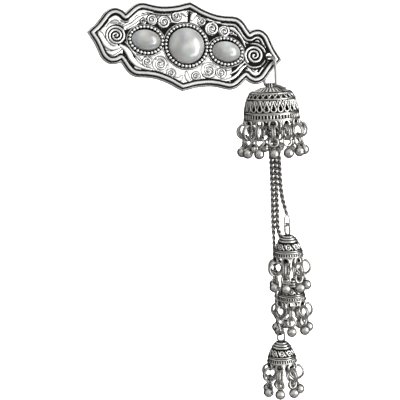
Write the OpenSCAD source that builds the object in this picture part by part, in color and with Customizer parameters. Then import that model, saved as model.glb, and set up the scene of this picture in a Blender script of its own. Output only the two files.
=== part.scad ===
// Tassel hair clip: an ogee-ended cast plate with three half-pearls and a clip behind it, and a long tassel of
// bell caps, fine chains and ball drops that hangs from a hole in its right end.
// Millimetres. Origin: middle of the hair gap between the clip's bar and its bow. +Z up, +X right, -Y to the front.

/* [Plate] */
// length of the plate along its outer groove
plate_len = 78.6; // [74:0.1:82]
// height of the plate along its outer groove
plate_h = 35.4; // [33:0.1:37]
// width of the sloping lip outside the groove
lip_w = 1.0; // [0.6:0.1:1.4]
// thickness of the plate from its back to the front of its rim
plate_t = 1.9; // [1.8:0.1:2.4]
// depth of the floor below the front of the rim
floor_d = 0.8; // [0.5:0.1:1.0]
// width of the flat rim, from the groove to the recessed floor
rim_w = 2.0; // [1.6:0.1:2.2]
// how far the plate's right end hangs down, degrees
plate_tilt = 11.07; // [8:0.01:14]
// how far the plate's top leans back, degrees
plate_lean = 14.5; // [10:0.1:18]
// diameter of the hole that the tassel hangs from
hole_d = 3.2; // [3.1:0.1:3.4]

/* [Pearls] */
// diameter of the round half-pearl
pearl_d = 15.0; // [14:0.1:15.4]
// height of the round half-pearl above the floor
pearl_h = 4.8; // [4:0.1:6]
// half length and half height of the oval half-pearls
oval = [6.2, 4.4]; // [3:0.1:7]
// distance of the oval half-pearls from the middle
oval_at = 16.6; // [16.4:0.1:17]

/* [Clip] */
// depth of the hair gap at the middle
gap_d = 8.5; // [7:0.1:10]
// length of the clip
clip_len = 60; // [50:1:62]
// width of the clip's bow
bow_w = 5.5; // [4:0.1:7]
// thickness of the clip's bar and bow
clip_t = 1.0; // [0.8:0.1:1.2]

/* [Big bell] */
// outer radius of the big bell at its rim
bell_r = 11.55; // [11.4:0.05:11.7]
// wall of the big bell
bell_wall = 0.9; // [0.8:0.1:1.0]
// number of drops round the big bell
bell_drops = 13; // [11:1:13]
// number of tear-shaped windows round the big bell
windows = 24; // [18:1:26]

/* [Small bells] */
// outer radius of a small bell at its rim
cap_r = 6.3; // [6.2:0.05:6.5]
// number of drops round a small bell
cap_drops = 7; // [6:1:7]

/* [Drops] */
// diameter of the balls
ball_d = 4.4; // [4:0.1:4.6]
// wire of the jump rings
ring_wire = 0.85; // [0.8:0.01:0.9]
// radius of the jump rings, to the middle of the wire
ring_r = 2.95; // [2.9:0.01:3.0]

/* [Hidden] */
$fn = 48;
silver = [0.72, 0.71, 0.68];
dark_silver = [0.55, 0.54, 0.52];
pearl_grey = [0.83, 0.84, 0.82];

// The plate's outline, one quarter of it: columns along, up, corner (1 = sharp).
QUARTER = [
    [39.3, 0, 1], [38.1, 1.6, 0], [36.8, 3.1, 0], [35.4, 5.3, 0], [34.0, 7.8, 0], [33.0, 9.2, 0], [31.5, 10.3, 0],
    [29.9, 10.8, 0], [28.3, 10.55, 0], [27.0, 10.05, 0], [25.85, 9.1, 1], [24.6, 10.5, 0], [23.1, 12.3, 0],
    [21.6, 13.65, 0], [20.0, 14.4, 0], [18.3, 14.55, 0], [16.8, 14.4, 0], [14.3, 14.2, 0], [12.0, 14.2, 0],
    [9.7, 14.5, 0], [7.1, 15.1, 0], [4.6, 15.85, 0], [2.4, 16.8, 0], [0, 17.7, 1]];
QN = len(QUARTER);
function q(i) = [QUARTER[i][0] * plate_len / 78.6, QUARTER[i][1] * plate_h / 35.4];
function sharp(i) = QUARTER[i][2] == 1;
// tangent at a table point, and the point halfway to the next one
function tan_q(i) = (q(i + 1) - q(i - 1)) / 2;
function mid_q(i) = (q(i) + q(i + 1)) / 2 + (tan_q(i) - tan_q(i + 1)) / 8;
quarter = [for (i = [0 : QN - 2]) each (sharp(i) || sharp(i + 1) ? [q(i)] : [q(i), mid_q(i)])];
// the whole outline, anticlockwise from the right tip
outline = concat(
    quarter,
    [q(QN - 1)], [for (i = [len(quarter) - 1 : -1 : 1]) [-quarter[i][0], quarter[i][1]]],
    [for (p = quarter) [-p[0], -p[1]]],
    [[0, -q(QN - 1)[1]]], [for (i = [len(quarter) - 1 : -1 : 1]) [quarter[i][0], -quarter[i][1]]]);
function unit(v) = v / norm(v);
// outline moved outwards by d, with mitred corners
function moved(P, d) =
    let (n = len(P))
    [for (i = [0 : n - 1])
        let (a = unit(P[i] - P[(i + n - 1) % n]), b = unit(P[(i + 1) % n] - P[i]),
             na = [a[1], -a[0]], nb = [b[1], -b[0]], m = unit(na + nb))
        P[i] + m * d / (m * na)];

// Relief curls of the right half: columns along, up, radius.
SCROLLS = [
    [9.9, 8.2, 2.6], [15.3, 8.5, 2.2], [5.5, 11.1, 1.8], [18.9, 9.3, 1.2],
    [9.9, -8.2, 2.6], [15.3, -8.5, 2.2], [5.5, -11.1, 1.8], [18.9, -9.3, 1.2]];
// radius of the end curls, and width of the raised line of every curl
end_curl = 3.8;
strip_w = 0.8;
function ellipse(a, b, n) = [for (i = [0 : n - 1]) [a * cos(i * 360 / n), b * sin(i * 360 / n)]];

// distance from the origin to the front of the rim, along the plate's front normal
rim_z = gap_d / 2 + clip_t + 0.1 + plate_t;
hole_at = [34.9, 0.7];

// The tassel's own frame: its axis, turned so that its -Y looks to the viewer. Heights are below the hole.
tassel_at = [34.78, -6.33, -4.24];
tassel_turn = -14.65;
// Hanger: plane, half width, wire, top, bar height, stub end
hang_turn = -40.35;
hang_half = 3.1;
hang_wire = 0.9;
hang_top = -0.3;
bar_z = -12.2;
stub_end = 7.4;
corner_r = 1.2;

// Big bell profile: columns radius, height
BELL = [[2.0, -11.0], [2.0, -12.9], [4.3, -13.0], [7.0, -14.2], [8.45, -14.5], [9.17, -15.6], [10.2, -17.7],
        [10.7, -19.8], [11.2, -21.8], [11.4, -23.9], [bell_r, -25.7]];
// inside of the big bell
BELL_IN = [[bell_r - bell_wall, -25.7], [10.5, -23.9], [10.3, -21.8], [9.8, -19.8], [9.25, -17.9], [8.2, -16.1],
           [7.4, -15.4], [6.6, -15.1], [4.1, -14.0], [0, -14.0]];
bell_eye_z = -27.1;
bell_eye_r = bell_r - 0.25;
bell_first = 2; // angle of the first drop from the front
loop_z = -16.3;
loop_r = 2.2;
loop_wire = 0.9;

// Small bell profile below its top: columns radius, height
CAP = [[0, 0], [1.8, 0], [2.8, -0.7], [3.4, -1.4], [4.4, -2.9], [5.05, -4.2], [5.5, -5.5], [5.95, -6.9], [cap_r, -8.7]];
CAP_IN = [[cap_r - 0.8, -8.7], [5.15, -6.9], [4.7, -5.5], [4.2, -4.2], [3.5, -2.9], [2.2, -1.5], [0, -1.5]];
cap_eye_z = -10.1;
cap_eye_r = cap_r - 0.5;
// The three small bells: columns right, back, height of the top, angle of the first drop, lean of the link, turn of
// eye and link about the upright
CAPS = [[4.7, -4.7, -74.4, -13.2, 0, -50], [5.4, 6.9, -96.2, -3.7, 0, 0], [0.3, -1.5, -121.1, -10.8, 13, 0]];
eye_h = 5.4;
eye_w = 3.9;
eye_wire = 0.9;
link_h = 5.2;
link_w = 3.4;
link_wire = 0.8;

// Drops
loop_drop_r = 1.75;
loop_drop_wire = 0.7;
ring_at = -3.56;
loop_at = -7.40;
ball_at_big = -12.1;
// how far a jump ring and the drop in it lean outwards, big bell and small bells, degrees
big_lean = [5, 11];
small_lean = [4, 9];
ball_at_small = -11.4;

// Chain routes: columns right, back, height
SHORT = [[1.75, 0, -19.1], [1.9, -0.2, -28], [2.2, -0.9, -36], [2.4, -1.6, -43], [2.5, -2.6, -50], [2.8, -3.5, -56],
         [3.5, -4.1, -60.5], [4.7, -4.7, -65.5]];
MIDDLE = [[0, 0, -19.1], [0.3, 0.6, -28], [0.6, 1.3, -36], [0.8, 1.7, -43], [0.8, 1.9, -56], [0.75, 2.0, -66],
          [0.8, 2.3, -72.5], [2.2, 3.8, -77.5], [4.0, 5.8, -82.6], [5.4, 6.9, -87.3]];
LONG = [[-1.75, 0, -19.1], [-1.5, 0.2, -28], [-1.1, 0.5, -36], [-0.9, 0.8, -43], [-0.9, 1.0, -56], [-1.05, 1.1, -66],
        [-1.1, 1.5, -75], [-1.25, 1.5, -97], [-1.2, 0.5, -101], [-1.1, -0.7, -105], [-1.0, -1.3, -109],
        [-0.85, -1.5, -112.1]];
chain_r = 0.8;

// route with points added so that rings are about step apart, smoothed through the table's points
function catmull(P, i, f) =
    let (n = len(P), a = P[max(i - 1, 0)], b = P[i], c = P[min(i + 1, n - 1)], d = P[min(i + 2, n - 1)])
    0.5 * ((2 * b) + (c - a) * f + (2 * a - 5 * b + 4 * c - d) * f * f + (3 * b - a - 3 * c + d) * f * f * f);
function route(P, step) =
    concat([for (i = [0 : len(P) - 2])
                let (n = max(1, round(norm(P[i + 1] - P[i]) / step)))
                each [for (k = [0 : n - 1]) catmull(P, i, k / n)]],
           [P[len(P) - 1]]);

// closed tube with 8 sides along a route
module tube(P, r) {
    R = route(P, 4.4);
    n = len(R);
    ring = [for (i = [0 : n - 1])
        let (t = unit(R[min(i + 1, n - 1)] - R[max(i - 1, 0)]),
             x = unit(cross([0, 1, 0], t)), y = cross(t, x))
        each [for (k = [0 : 7]) R[i] + r * (cos(k * 45) * x + sin(k * 45) * y)]];
    faces = concat(
        [[for (k = [0 : 7]) k]],
        [for (i = [0 : n - 2], k = [0 : 7])
            each [[i * 8 + k, (i + 1) * 8 + (k + 1) % 8, i * 8 + (k + 1) % 8],
                  [i * 8 + k, (i + 1) * 8 + k, (i + 1) * 8 + (k + 1) % 8]]],
        [[for (k = [7 : -1 : 0]) (n - 1) * 8 + k]]);
    polyhedron(ring, faces);
}

// ring of round wire about the Z axis
module wire_ring(r, wire) {
    rotate_extrude($fn = 48) translate([r, 0]) circle(d = wire, $fn = 24);
}

// closed loop of wire in the XZ plane, outer size w by h, its bottom at the origin
module wire_loop(w, h, wire) {
    r = (w - wire) / 2;
    low = wire / 2 + r;
    high = h - wire / 2 - r;
    for (s = [-1, 1]) translate([s * r, 0, low]) cylinder(d = wire, h = high - low, $fn = 24);
    translate([0, 0, high]) rotate([90, 0, 0]) rotate_extrude(angle = 180, $fn = 48) translate([r, 0]) circle(d = wire, $fn = 24);
    translate([0, 0, low]) rotate([-90, 0, 0]) rotate_extrude(angle = 180, $fn = 48) translate([r, 0]) circle(d = wire, $fn = 24);
}

// plate frame: x along, y up, z out of the front
module on_plate() rotate([90 - plate_lean, plate_tilt, 0]) children();
// tassel frame
module on_tassel() translate(tassel_at) rotate([0, 0, tassel_turn]) children();
// turned by a from the front towards the right, moved out by r
module at_angle(a, r, z) rotate([0, 0, a]) translate([0, -r, z]) children();

module slab(P, z0, z1) translate([0, 0, z0]) linear_extrude(z1 - z0) polygon(P);

module relief_curl(r) difference() {
    cylinder(r = r, h = plate_t / 2 - 0.3);
    translate([0, 0, -1]) cylinder(r = r - strip_w, h = plate_t);
}

module plate() color(silver) on_plate() translate([0, 0, rim_z]) difference() {
    union() {
        // lip and body
        difference() {
            union() {
                slab(moved(outline, lip_w), -plate_t, -0.55);
                slab(outline, -plate_t, 0);
            }
            slab(moved(outline, -rim_w), -floor_d, 1);
        }
        // relief curls, the left half mirrored
        for (m = [-1, 1]) {
            for (s = SCROLLS) translate([m * s[0], s[1], -plate_t / 2]) relief_curl(s[2]);
            translate([m * 28.9, 0, -plate_t / 2]) {
                relief_curl(end_curl);
                relief_curl(end_curl - 2 * strip_w);
            }
        }
        // beaded settings
        translate([0, 0, -plate_t / 2]) rotate_extrude() translate([pearl_d / 2 + 0.45, 0]) square([1.1, plate_t / 2 + 0.4]);
        for (m = [-1, 1]) translate([m * oval_at, 0, -plate_t / 2]) linear_extrude(plate_t / 2 + 0.4) difference() {
            polygon(ellipse(oval[0] + 1.0, oval[1] + 1.4, 56));
            polygon(ellipse(oval[0] + 0.2, oval[1] + 0.5, 56));
        }
    }
    translate([hole_at[0], hole_at[1], -plate_t - 1]) cylinder(d = hole_d, h = plate_t + 2);
}

// dome with an oval foot
module dome(a, b, h) {
    n = 32;
    L = 6;
    ring = [for (j = [0 : L - 1]) let (c = cos(j * 90 / L), s = sin(j * 90 / L)) each
        [for (k = [0 : n - 1]) [a * c * cos(k * 360 / n), b * c * sin(k * 360 / n), h * s]]];
    faces = concat(
        [[for (k = [0 : n - 1]) k]],
        [for (j = [0 : L - 2], k = [0 : n - 1])
            each [[j * n + k, (j + 1) * n + (k + 1) % n, j * n + (k + 1) % n],
                  [j * n + k, (j + 1) * n + k, (j + 1) * n + (k + 1) % n]]],
        [for (k = [0 : n - 1]) [(L - 1) * n + k, L * n, (L - 1) * n + (k + 1) % n]]);
    polyhedron(concat(ring, [[0, 0, h]]), faces);
}
module pearl_left() color(pearl_grey) on_plate() translate([-oval_at, 0, rim_z - floor_d + 0.05]) dome(oval[0], oval[1], 3.9);
module pearl_right() color(pearl_grey) on_plate() translate([oval_at, 0, rim_z - floor_d + 0.05]) dome(oval[0], oval[1], 3.9);
module pearl_centre() color(pearl_grey) on_plate() translate([0, 0, rim_z - floor_d + 0.05]) intersection() {
    R = (pow(pearl_d / 2, 2) + pow(pearl_h - 0.8, 2)) / 2 / (pearl_h - 0.8);
    cylinder(d = pearl_d, h = pearl_h + 1);
    translate([0, 0, pearl_h - R]) sphere(R, $fn = 96);
}

// The clip: a straight bar behind the plate and a bow behind it, joined at both ends.
function bow(x) = gap_d / 2 - gap_d * (1 - pow(x / (clip_len / 2 - 3), 4));
module back_clip() color(dark_silver) on_plate() {
    e = clip_len / 2;
    inside = [for (i = [-13 : 13]) let (x = i * (e - 3) / 13) [x, bow(x)]];
    rotate([90, 0, 0]) translate([0, 0, -bow_w / 2]) linear_extrude(bow_w) difference() {
        polygon(concat([[-e, gap_d / 2 + clip_t], [-e, gap_d / 2 - clip_t]], [for (p = inside) p - [0, clip_t]],
                       [[e, gap_d / 2 - clip_t], [e, gap_d / 2 + clip_t]]));
        polygon(inside);
    }
}

module hanger() color(silver) on_tassel() rotate([0, 0, hang_turn]) {
    h = hang_half;
    top = hang_top - h;
    c = h - corner_r;
    translate([0, 0, top]) rotate([90, 0, 0]) rotate_extrude(angle = 180) translate([h, 0]) circle(d = hang_wire, $fn = 24);
    for (s = [-1, 1]) {
        translate([s * h, 0, bar_z + corner_r]) cylinder(d = hang_wire, h = top - bar_z - corner_r, $fn = 24);
        translate([s * c, 0, bar_z + corner_r]) rotate([-90, s > 0 ? 0 : 90, 0])
            rotate_extrude(angle = 90) translate([corner_r, 0]) circle(d = hang_wire, $fn = 24);
    }
    translate([-c, 0, bar_z]) rotate([0, 90, 0]) cylinder(d = hang_wire, h = stub_end + c, $fn = 24);
}

// rim eyelet, its hole along the radius
module eyelet() rotate([90, 0, 0]) translate([0, 0, -0.35]) cylinder(d = 3.8, h = 0.7);
module eyelet_hole() rotate([90, 0, 0]) translate([0, 0, -1.5]) cylinder(d = 2.3, h = 3);
// tear-shaped window: narrow end up
function tear(r, h) = concat([for (i = [0 : 10]) let (a = -200 + i * 22) [r * cos(a), r * sin(a)]], [[0, h]]);

module bell() color(silver) on_tassel() difference() {
    union() {
        difference() {
            rotate_extrude($fn = 96) polygon(concat([[0, -11.0]], BELL, BELL_IN));
            for (i = [0 : windows - 1]) at_angle(4.6 + i * 360 / windows, bell_r - 1.1, -21.2)
                rotate([90, 0, 0]) translate([0, 0, -1.2]) linear_extrude(3) polygon(tear(0.85, 2.3));
        }
        for (i = [0 : bell_drops - 1]) at_angle(bell_first + i * 360 / bell_drops, bell_eye_r, bell_eye_z) eyelet();
        // loop inside the top, for the chains
        translate([0, 0, loop_z]) rotate([90, 0, 0]) wire_ring(loop_r, loop_wire);
    }
    for (i = [0 : bell_drops - 1]) at_angle(bell_first + i * 360 / bell_drops, bell_eye_r, bell_eye_z) eyelet_hole();
    // cross hole of the neck, for the hanger's bar
    translate([0, 0, bar_z]) rotate([0, 90, hang_turn]) cylinder(d = 1.1, h = 5, center = true);
}

// jump ring in a rim eyelet, standing in the radial plane
module jump_ring(lean) rotate([-lean[0], 0, 0]) translate([0, 0, ring_at]) rotate([0, 90, 0]) wire_ring(ring_r, ring_wire);
// ball drop on a jump ring, leaning about the lowest point of the ring
module drop(ball_at, lean) {
    low = ring_at - ring_r;
    rotate([-lean[0], 0, 0]) translate([0, 0, low]) rotate([lean[0] - lean[1], 0, 0]) translate([0, 0, -low]) {
        translate([0, 0, loop_at]) rotate([90, 0, 0]) wire_ring(loop_drop_r, loop_drop_wire);
        translate([0, 0, ball_at + ball_d / 2 - 0.3])
            cylinder(d = 1.3, h = loop_at - loop_drop_r - ball_at - ball_d / 2 + 0.4, $fn = 24);
        translate([0, 0, ball_at]) sphere(d = ball_d);
    }
}

module bell_jump_rings() color(silver) on_tassel()
    for (i = [0 : bell_drops - 1]) at_angle(bell_first + i * 360 / bell_drops, bell_eye_r, bell_eye_z) jump_ring(big_lean);
module bell_drop(i) color(silver) on_tassel()
    at_angle(bell_first + (i - 1) * 360 / bell_drops, bell_eye_r, bell_eye_z) drop(ball_at_big, big_lean);

module chain_short() color(dark_silver) on_tassel() tube(SHORT, chain_r);
module chain_middle() color(dark_silver) on_tassel() tube(MIDDLE, chain_r);
module chain_long() color(dark_silver) on_tassel() tube(LONG, chain_r);

module on_cap(k) on_tassel() translate([CAPS[k - 1][0], CAPS[k - 1][1], CAPS[k - 1][2]]) children();
function cap_angle(k, i) = CAPS[k - 1][3] + (i - 1) * 360 / cap_drops;

// oval link between a chain and a small bell's eye, square to the eye
module oval_link(k) color(silver) on_cap(k)
    translate([0, 0, eye_h - eye_wire - 0.1]) rotate([0, -CAPS[k - 1][4], CAPS[k - 1][5]]) translate([0, 0, -link_wire])
        rotate([0, 0, 90]) wire_loop(link_w, link_h, link_wire);

module small_bell(k) color(silver) on_cap(k) difference() {
    union() {
        rotate_extrude($fn = 72) polygon(concat(CAP, CAP_IN));
        translate([0, 0, -0.4]) rotate([0, 0, CAPS[k - 1][5]]) wire_loop(eye_w, eye_h + 0.4, eye_wire);
        for (i = [1 : cap_drops]) at_angle(cap_angle(k, i), cap_eye_r, cap_eye_z) eyelet();
    }
    for (i = [1 : cap_drops]) at_angle(cap_angle(k, i), cap_eye_r, cap_eye_z) eyelet_hole();
}
module small_rings(k) color(silver) on_cap(k)
    for (i = [1 : cap_drops]) at_angle(cap_angle(k, i), cap_eye_r, cap_eye_z) jump_ring(small_lean);
module small_drop(k, i) color(silver) on_cap(k) at_angle(cap_angle(k, i), cap_eye_r, cap_eye_z) drop(ball_at_small, small_lean);

plate();
pearl_left();
pearl_centre();
pearl_right();
back_clip();
hanger();
bell();
bell_jump_rings();
bell_drop(1);  // bell_drop_01
bell_drop(2);  // bell_drop_02
bell_drop(3);  // bell_drop_03
bell_drop(4);  // bell_drop_04
bell_drop(5);  // bell_drop_05
bell_drop(6);  // bell_drop_06
bell_drop(7);  // bell_drop_07
bell_drop(8);  // bell_drop_08
bell_drop(9);  // bell_drop_09
bell_drop(10);  // bell_drop_10
bell_drop(11);  // bell_drop_11
bell_drop(12);  // bell_drop_12
bell_drop(13);  // bell_drop_13
chain_short();
chain_middle();
chain_long();
oval_link(1);  // link_1
oval_link(2);  // link_2
oval_link(3);  // link_3
small_bell(1);  // small_bell_1
small_bell(2);  // small_bell_2
small_bell(3);  // small_bell_3
small_rings(1);  // small_rings_1
small_rings(2);  // small_rings_2
small_rings(3);  // small_rings_3
small_drop(1, 1);  // small_drop_1_1
small_drop(1, 2);  // small_drop_1_2
small_drop(1, 3);  // small_drop_1_3
small_drop(1, 4);  // small_drop_1_4
small_drop(1, 5);  // small_drop_1_5
small_drop(1, 6);  // small_drop_1_6
small_drop(1, 7);  // small_drop_1_7
small_drop(2, 1);  // small_drop_2_1
small_drop(2, 2);  // small_drop_2_2
small_drop(2, 3);  // small_drop_2_3
small_drop(2, 4);  // small_drop_2_4
small_drop(2, 5);  // small_drop_2_5
small_drop(2, 6);  // small_drop_2_6
small_drop(2, 7);  // small_drop_2_7
small_drop(3, 1);  // small_drop_3_1
small_drop(3, 2);  // small_drop_3_2
small_drop(3, 3);  // small_drop_3_3
small_drop(3, 4);  // small_drop_3_4
small_drop(3, 5);  // small_drop_3_5
small_drop(3, 6);  // small_drop_3_6
small_drop(3, 7);  // small_drop_3_7
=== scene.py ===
import bpy
import math
import numpy as np
from mathutils import Matrix, Vector


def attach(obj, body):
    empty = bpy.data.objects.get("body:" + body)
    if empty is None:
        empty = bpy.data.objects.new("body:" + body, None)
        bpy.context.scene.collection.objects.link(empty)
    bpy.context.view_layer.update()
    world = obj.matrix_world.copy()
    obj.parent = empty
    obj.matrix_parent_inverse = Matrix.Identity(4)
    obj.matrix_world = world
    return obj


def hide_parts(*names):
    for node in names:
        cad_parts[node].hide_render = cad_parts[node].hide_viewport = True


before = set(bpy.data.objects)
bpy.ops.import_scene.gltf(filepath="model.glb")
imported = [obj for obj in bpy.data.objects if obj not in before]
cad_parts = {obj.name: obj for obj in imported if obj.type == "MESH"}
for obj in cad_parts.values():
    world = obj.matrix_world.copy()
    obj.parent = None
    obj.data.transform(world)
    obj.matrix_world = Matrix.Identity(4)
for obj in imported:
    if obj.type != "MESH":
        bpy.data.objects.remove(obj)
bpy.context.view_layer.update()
MM = 0.001

# ---------------------------------------------------------------- camera
# The plate's own axes in the row frame: along, up, out of the front.
TILT, LEAN = math.radians(11.07), math.radians(14.5)


def plate_dir(u, v, w):
    y = v * math.sin(LEAN) - w * math.cos(LEAN)
    z = v * math.cos(LEAN) + w * math.sin(LEAN)
    return np.array([u * math.cos(TILT) + z * math.sin(TILT), y, -u * math.sin(TILT) + z * math.cos(TILT)])


EU, EV, EW = plate_dir(1, 0, 0), plate_dir(0, 1, 0), plate_dir(0, 0, 1)
RIM = 7.25
az, pitch, roll = math.radians(-10.7), math.radians(9.2), math.radians(-2.91)
back = np.array([math.sin(az) * math.cos(pitch), -math.cos(az) * math.cos(pitch), math.sin(pitch)])
aim = np.array([2.33, 0.0, -63.4]) + EW * RIM
eye = aim + back * 455.0
fwd = -back
right = np.cross(fwd, [0, 0, 1.0])
right /= np.linalg.norm(right)
up = np.cross(right, fwd)
r2 = right * math.cos(roll) + up * math.sin(roll)
u2 = -right * math.sin(roll) + up * math.cos(roll)
cam_data = bpy.data.cameras.new("camera")
cam_data.sensor_width = 36.0
cam_data.lens = 99.0
cam_data.clip_start = 0.01
cam_data.clip_end = 20.0
cam = bpy.data.objects.new("camera", cam_data)
bpy.context.scene.collection.objects.link(cam)
m = Matrix.Identity(4)
for i in range(3):
    m[i][0], m[i][1], m[i][2], m[i][3] = r2[i], u2[i], back[i], eye[i] * MM
cam.matrix_world = m
bpy.context.scene.camera = cam

# ---------------------------------------------------------------- mesh helpers
def make(name, V, F, body, mat, slot, node=None, attr=None, smooth=True, flat_angle=None):
    """Mesh from points in millimetres and a list of face arrays (three or four columns)."""
    V = np.asarray(V, float) * MM
    F = [np.asarray(f, int) for f in F if len(f)]
    me = bpy.data.meshes.new(name)
    me.vertices.add(len(V))
    me.vertices.foreach_set("co", V.astype(np.float32).ravel())
    sizes = np.concatenate([np.full(len(f), f.shape[1]) for f in F])
    loops = np.concatenate([f.ravel() for f in F])
    me.loops.add(len(loops))
    me.loops.foreach_set("vertex_index", loops.astype(np.int32))
    me.polygons.add(len(sizes))
    me.polygons.foreach_set("loop_start", np.concatenate([[0], np.cumsum(sizes)[:-1]]).astype(np.int32))
    me.polygons.foreach_set("loop_total", sizes.astype(np.int32))
    me.update(calc_edges=True)
    me.validate()
    me.polygons.foreach_set("use_smooth", np.full(len(me.polygons), smooth))
    if attr is not None:
        # this attribute holds the black oxide in the recesses and, on some parts, painted shade
        a = me.attributes.new("ox", "FLOAT", "POINT")
        a.data.foreach_set("value", np.asarray(attr, np.float32))
    if flat_angle:
        me.set_sharp_from_angle(angle=math.radians(flat_angle))
    me.materials.append(mat)
    ob = bpy.data.objects.new(name, me)
    bpy.context.scene.collection.objects.link(ob)
    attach(ob, body)
    if node:
        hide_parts(*([node] if isinstance(node, str) else node))
    return ob


class Bag:
    """Gathers many small shapes into one mesh."""

    def __init__(self):
        self.V, self.Q, self.T, self.A, self.n = [], [], [], [], 0

    def add(self, V, Q=None, T=None, A=None):
        V = np.asarray(V, float)
        if Q is not None and len(Q):
            self.Q.append(np.asarray(Q) + self.n)
        if T is not None and len(T):
            self.T.append(np.asarray(T) + self.n)
        self.V.append(V)
        self.A.append(np.zeros(len(V)) if A is None else np.broadcast_to(A, (len(V),)).astype(float))
        self.n += len(V)

    def make(self, name, body, mat, slot, node=None, frame_fn=None, **kw):
        V = np.concatenate(self.V)
        if frame_fn:
            V = frame_fn(V)
        F = []
        if self.Q:
            F.append(np.concatenate(self.Q))
        if self.T:
            F.append(np.concatenate(self.T))
        return make(name, V, F, body, mat, slot, node, attr=np.concatenate(self.A), **kw)


def plate_to_row(V):
    V = np.asarray(V, float)
    return V[:, 0:1] * EU + V[:, 1:2] * EV + (V[:, 2:3] + RIM) * EW


AXIS = np.array([34.78, -6.33, -4.24])
TURN = math.radians(-14.65)


def tassel_to_row(V):
    V = np.asarray(V, float)
    c, s = math.cos(TURN), math.sin(TURN)
    return np.stack([V[:, 0] * c - V[:, 1] * s, V[:, 0] * s + V[:, 1] * c, V[:, 2]], 1) + AXIS


def rot_z(V, a):
    a = math.radians(a)
    c, s = math.cos(a), math.sin(a)
    V = np.asarray(V, float)
    return np.stack([V[:, 0] * c - V[:, 1] * s, V[:, 0] * s + V[:, 1] * c, V[:, 2]], 1)


def rot_x(V, a):
    a = math.radians(a)
    c, s = math.cos(a), math.sin(a)
    V = np.asarray(V, float)
    return np.stack([V[:, 0], V[:, 1] * c - V[:, 2] * s, V[:, 1] * s + V[:, 2] * c], 1)


def rot_y(V, a):
    a = math.radians(a)
    c, s = math.cos(a), math.sin(a)
    V = np.asarray(V, float)
    return np.stack([V[:, 0] * c + V[:, 2] * s, V[:, 1], -V[:, 0] * s + V[:, 2] * c], 1)


def grid_faces(n, m, wrap_n=False, wrap_m=False):
    """Quads of an n by m grid of points, row by row."""
    i = np.arange(n if wrap_n else n - 1)
    j = np.arange(m if wrap_m else m - 1)
    I, J = np.meshgrid(i, j, indexing="ij")
    I2, J2 = (I + 1) % n, (J + 1) % m
    return np.stack([I * m + J, I2 * m + J, I2 * m + J2, I * m + J2], -1).reshape(-1, 4)


def sweep(path, r, sides=8, closed=False, up_hint=(0, 0, 1), caps=True, flat=1.0):
    """Round wire along a path. r may vary along it. flat squeezes the section along its second axis."""
    P = np.asarray(path, float)
    n = len(P)
    r = np.broadcast_to(r, (n,))
    if closed:
        T = np.roll(P, -1, 0) - np.roll(P, 1, 0)
    else:
        T = np.gradient(P, axis=0)
    T /= np.linalg.norm(T, axis=1)[:, None]
    x = np.cross(np.asarray(up_hint, float), T[0])
    if np.linalg.norm(x) < 1e-3:
        x = np.cross([1.0, 0.1, 0], T[0])
    X = [x / np.linalg.norm(x)]
    for i in range(1, n):
        v = X[-1] - T[i] * (X[-1] @ T[i])
        X.append(v / np.linalg.norm(v))
    X = np.array(X)
    if closed:  # spreads the twist that is left over the whole loop
        v = X[-1] - T[0] * (X[-1] @ T[0])
        v /= np.linalg.norm(v)
        Y0 = np.cross(T[0], X[0])
        twist = math.atan2(v @ Y0, v @ X[0])
        a = -twist * np.arange(n) / n
        Y = np.cross(T, X)
        X = X * np.cos(a)[:, None] + Y * np.sin(a)[:, None]
    Y = np.cross(T, X)
    a = np.arange(sides) * 2 * math.pi / sides
    V = P[:, None, :] + r[:, None, None] * (np.cos(a)[None, :, None] * X[:, None, :] + flat * np.sin(a)[None, :, None] * Y[:, None, :])
    Q = grid_faces(n, sides, wrap_n=closed, wrap_m=True)
    V = V.reshape(-1, 3)
    T3 = []
    if caps and not closed:
        c0, c1 = len(V), len(V) + 1
        V = np.concatenate([V, [P[0] - T[0] * r[0] * 0.5, P[-1] + T[-1] * r[-1] * 0.5]])
        k = np.arange(sides)
        T3 = np.concatenate([np.stack([k, (k + 1) % sides, np.full(sides, c0)], 1),
                             np.stack([(n - 1) * sides + (k + 1) % sides, (n - 1) * sides + k, np.full(sides, c1)], 1)])
    return V, Q, T3


def circle_path(r, n, plane="xy", a0=0.0, a1=360.0, c=(0, 0, 0), closed=True):
    a = np.radians(a0 + (a1 - a0) * np.arange(n) / (n if closed else n - 1))
    x, y = r * np.cos(a), r * np.sin(a)
    z = np.zeros(n)
    P = {"xy": (x, y, z), "xz": (x, z, y), "yz": (z, x, y)}[plane]
    return np.stack(P, 1) + np.array(c)


def ball(r, n=20, m=12, c=(0, 0, 0), squash=1.0):
    lat = np.linspace(-math.pi / 2, math.pi / 2, m)[1:-1]
    a = np.arange(n) * 2 * math.pi / n
    V = np.stack([np.outer(np.cos(lat), np.cos(a)), np.outer(np.cos(lat), np.sin(a)), np.outer(np.sin(lat), np.ones(n)) * squash], -1).reshape(-1, 3) * r
    k = len(V)
    V = np.concatenate([V, [[0, 0, -r * squash], [0, 0, r * squash]]]) + np.array(c)
    Q = grid_faces(len(lat), n, wrap_m=True)[:, ::-1]
    i = np.arange(n)
    T = np.concatenate([np.stack([(i + 1) % n, i, np.full(n, k)], 1),
                        np.stack([k - n + i, k - n + (i + 1) % n, np.full(n, k + 1)], 1)])
    return V, Q, T


def lathe(profile, n, a=None):
    """Closed surface of revolution; profile columns radius, height, from top to bottom and back."""
    P = np.asarray(profile, float)
    t = np.arange(n) * 2 * math.pi / n
    V = np.stack([np.outer(P[:, 0], np.sin(t)), -np.outer(P[:, 0], np.cos(t)), np.outer(P[:, 1], np.ones(n))], -1).reshape(-1, 3)
    return V, grid_faces(len(P), n, wrap_m=True)


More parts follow.
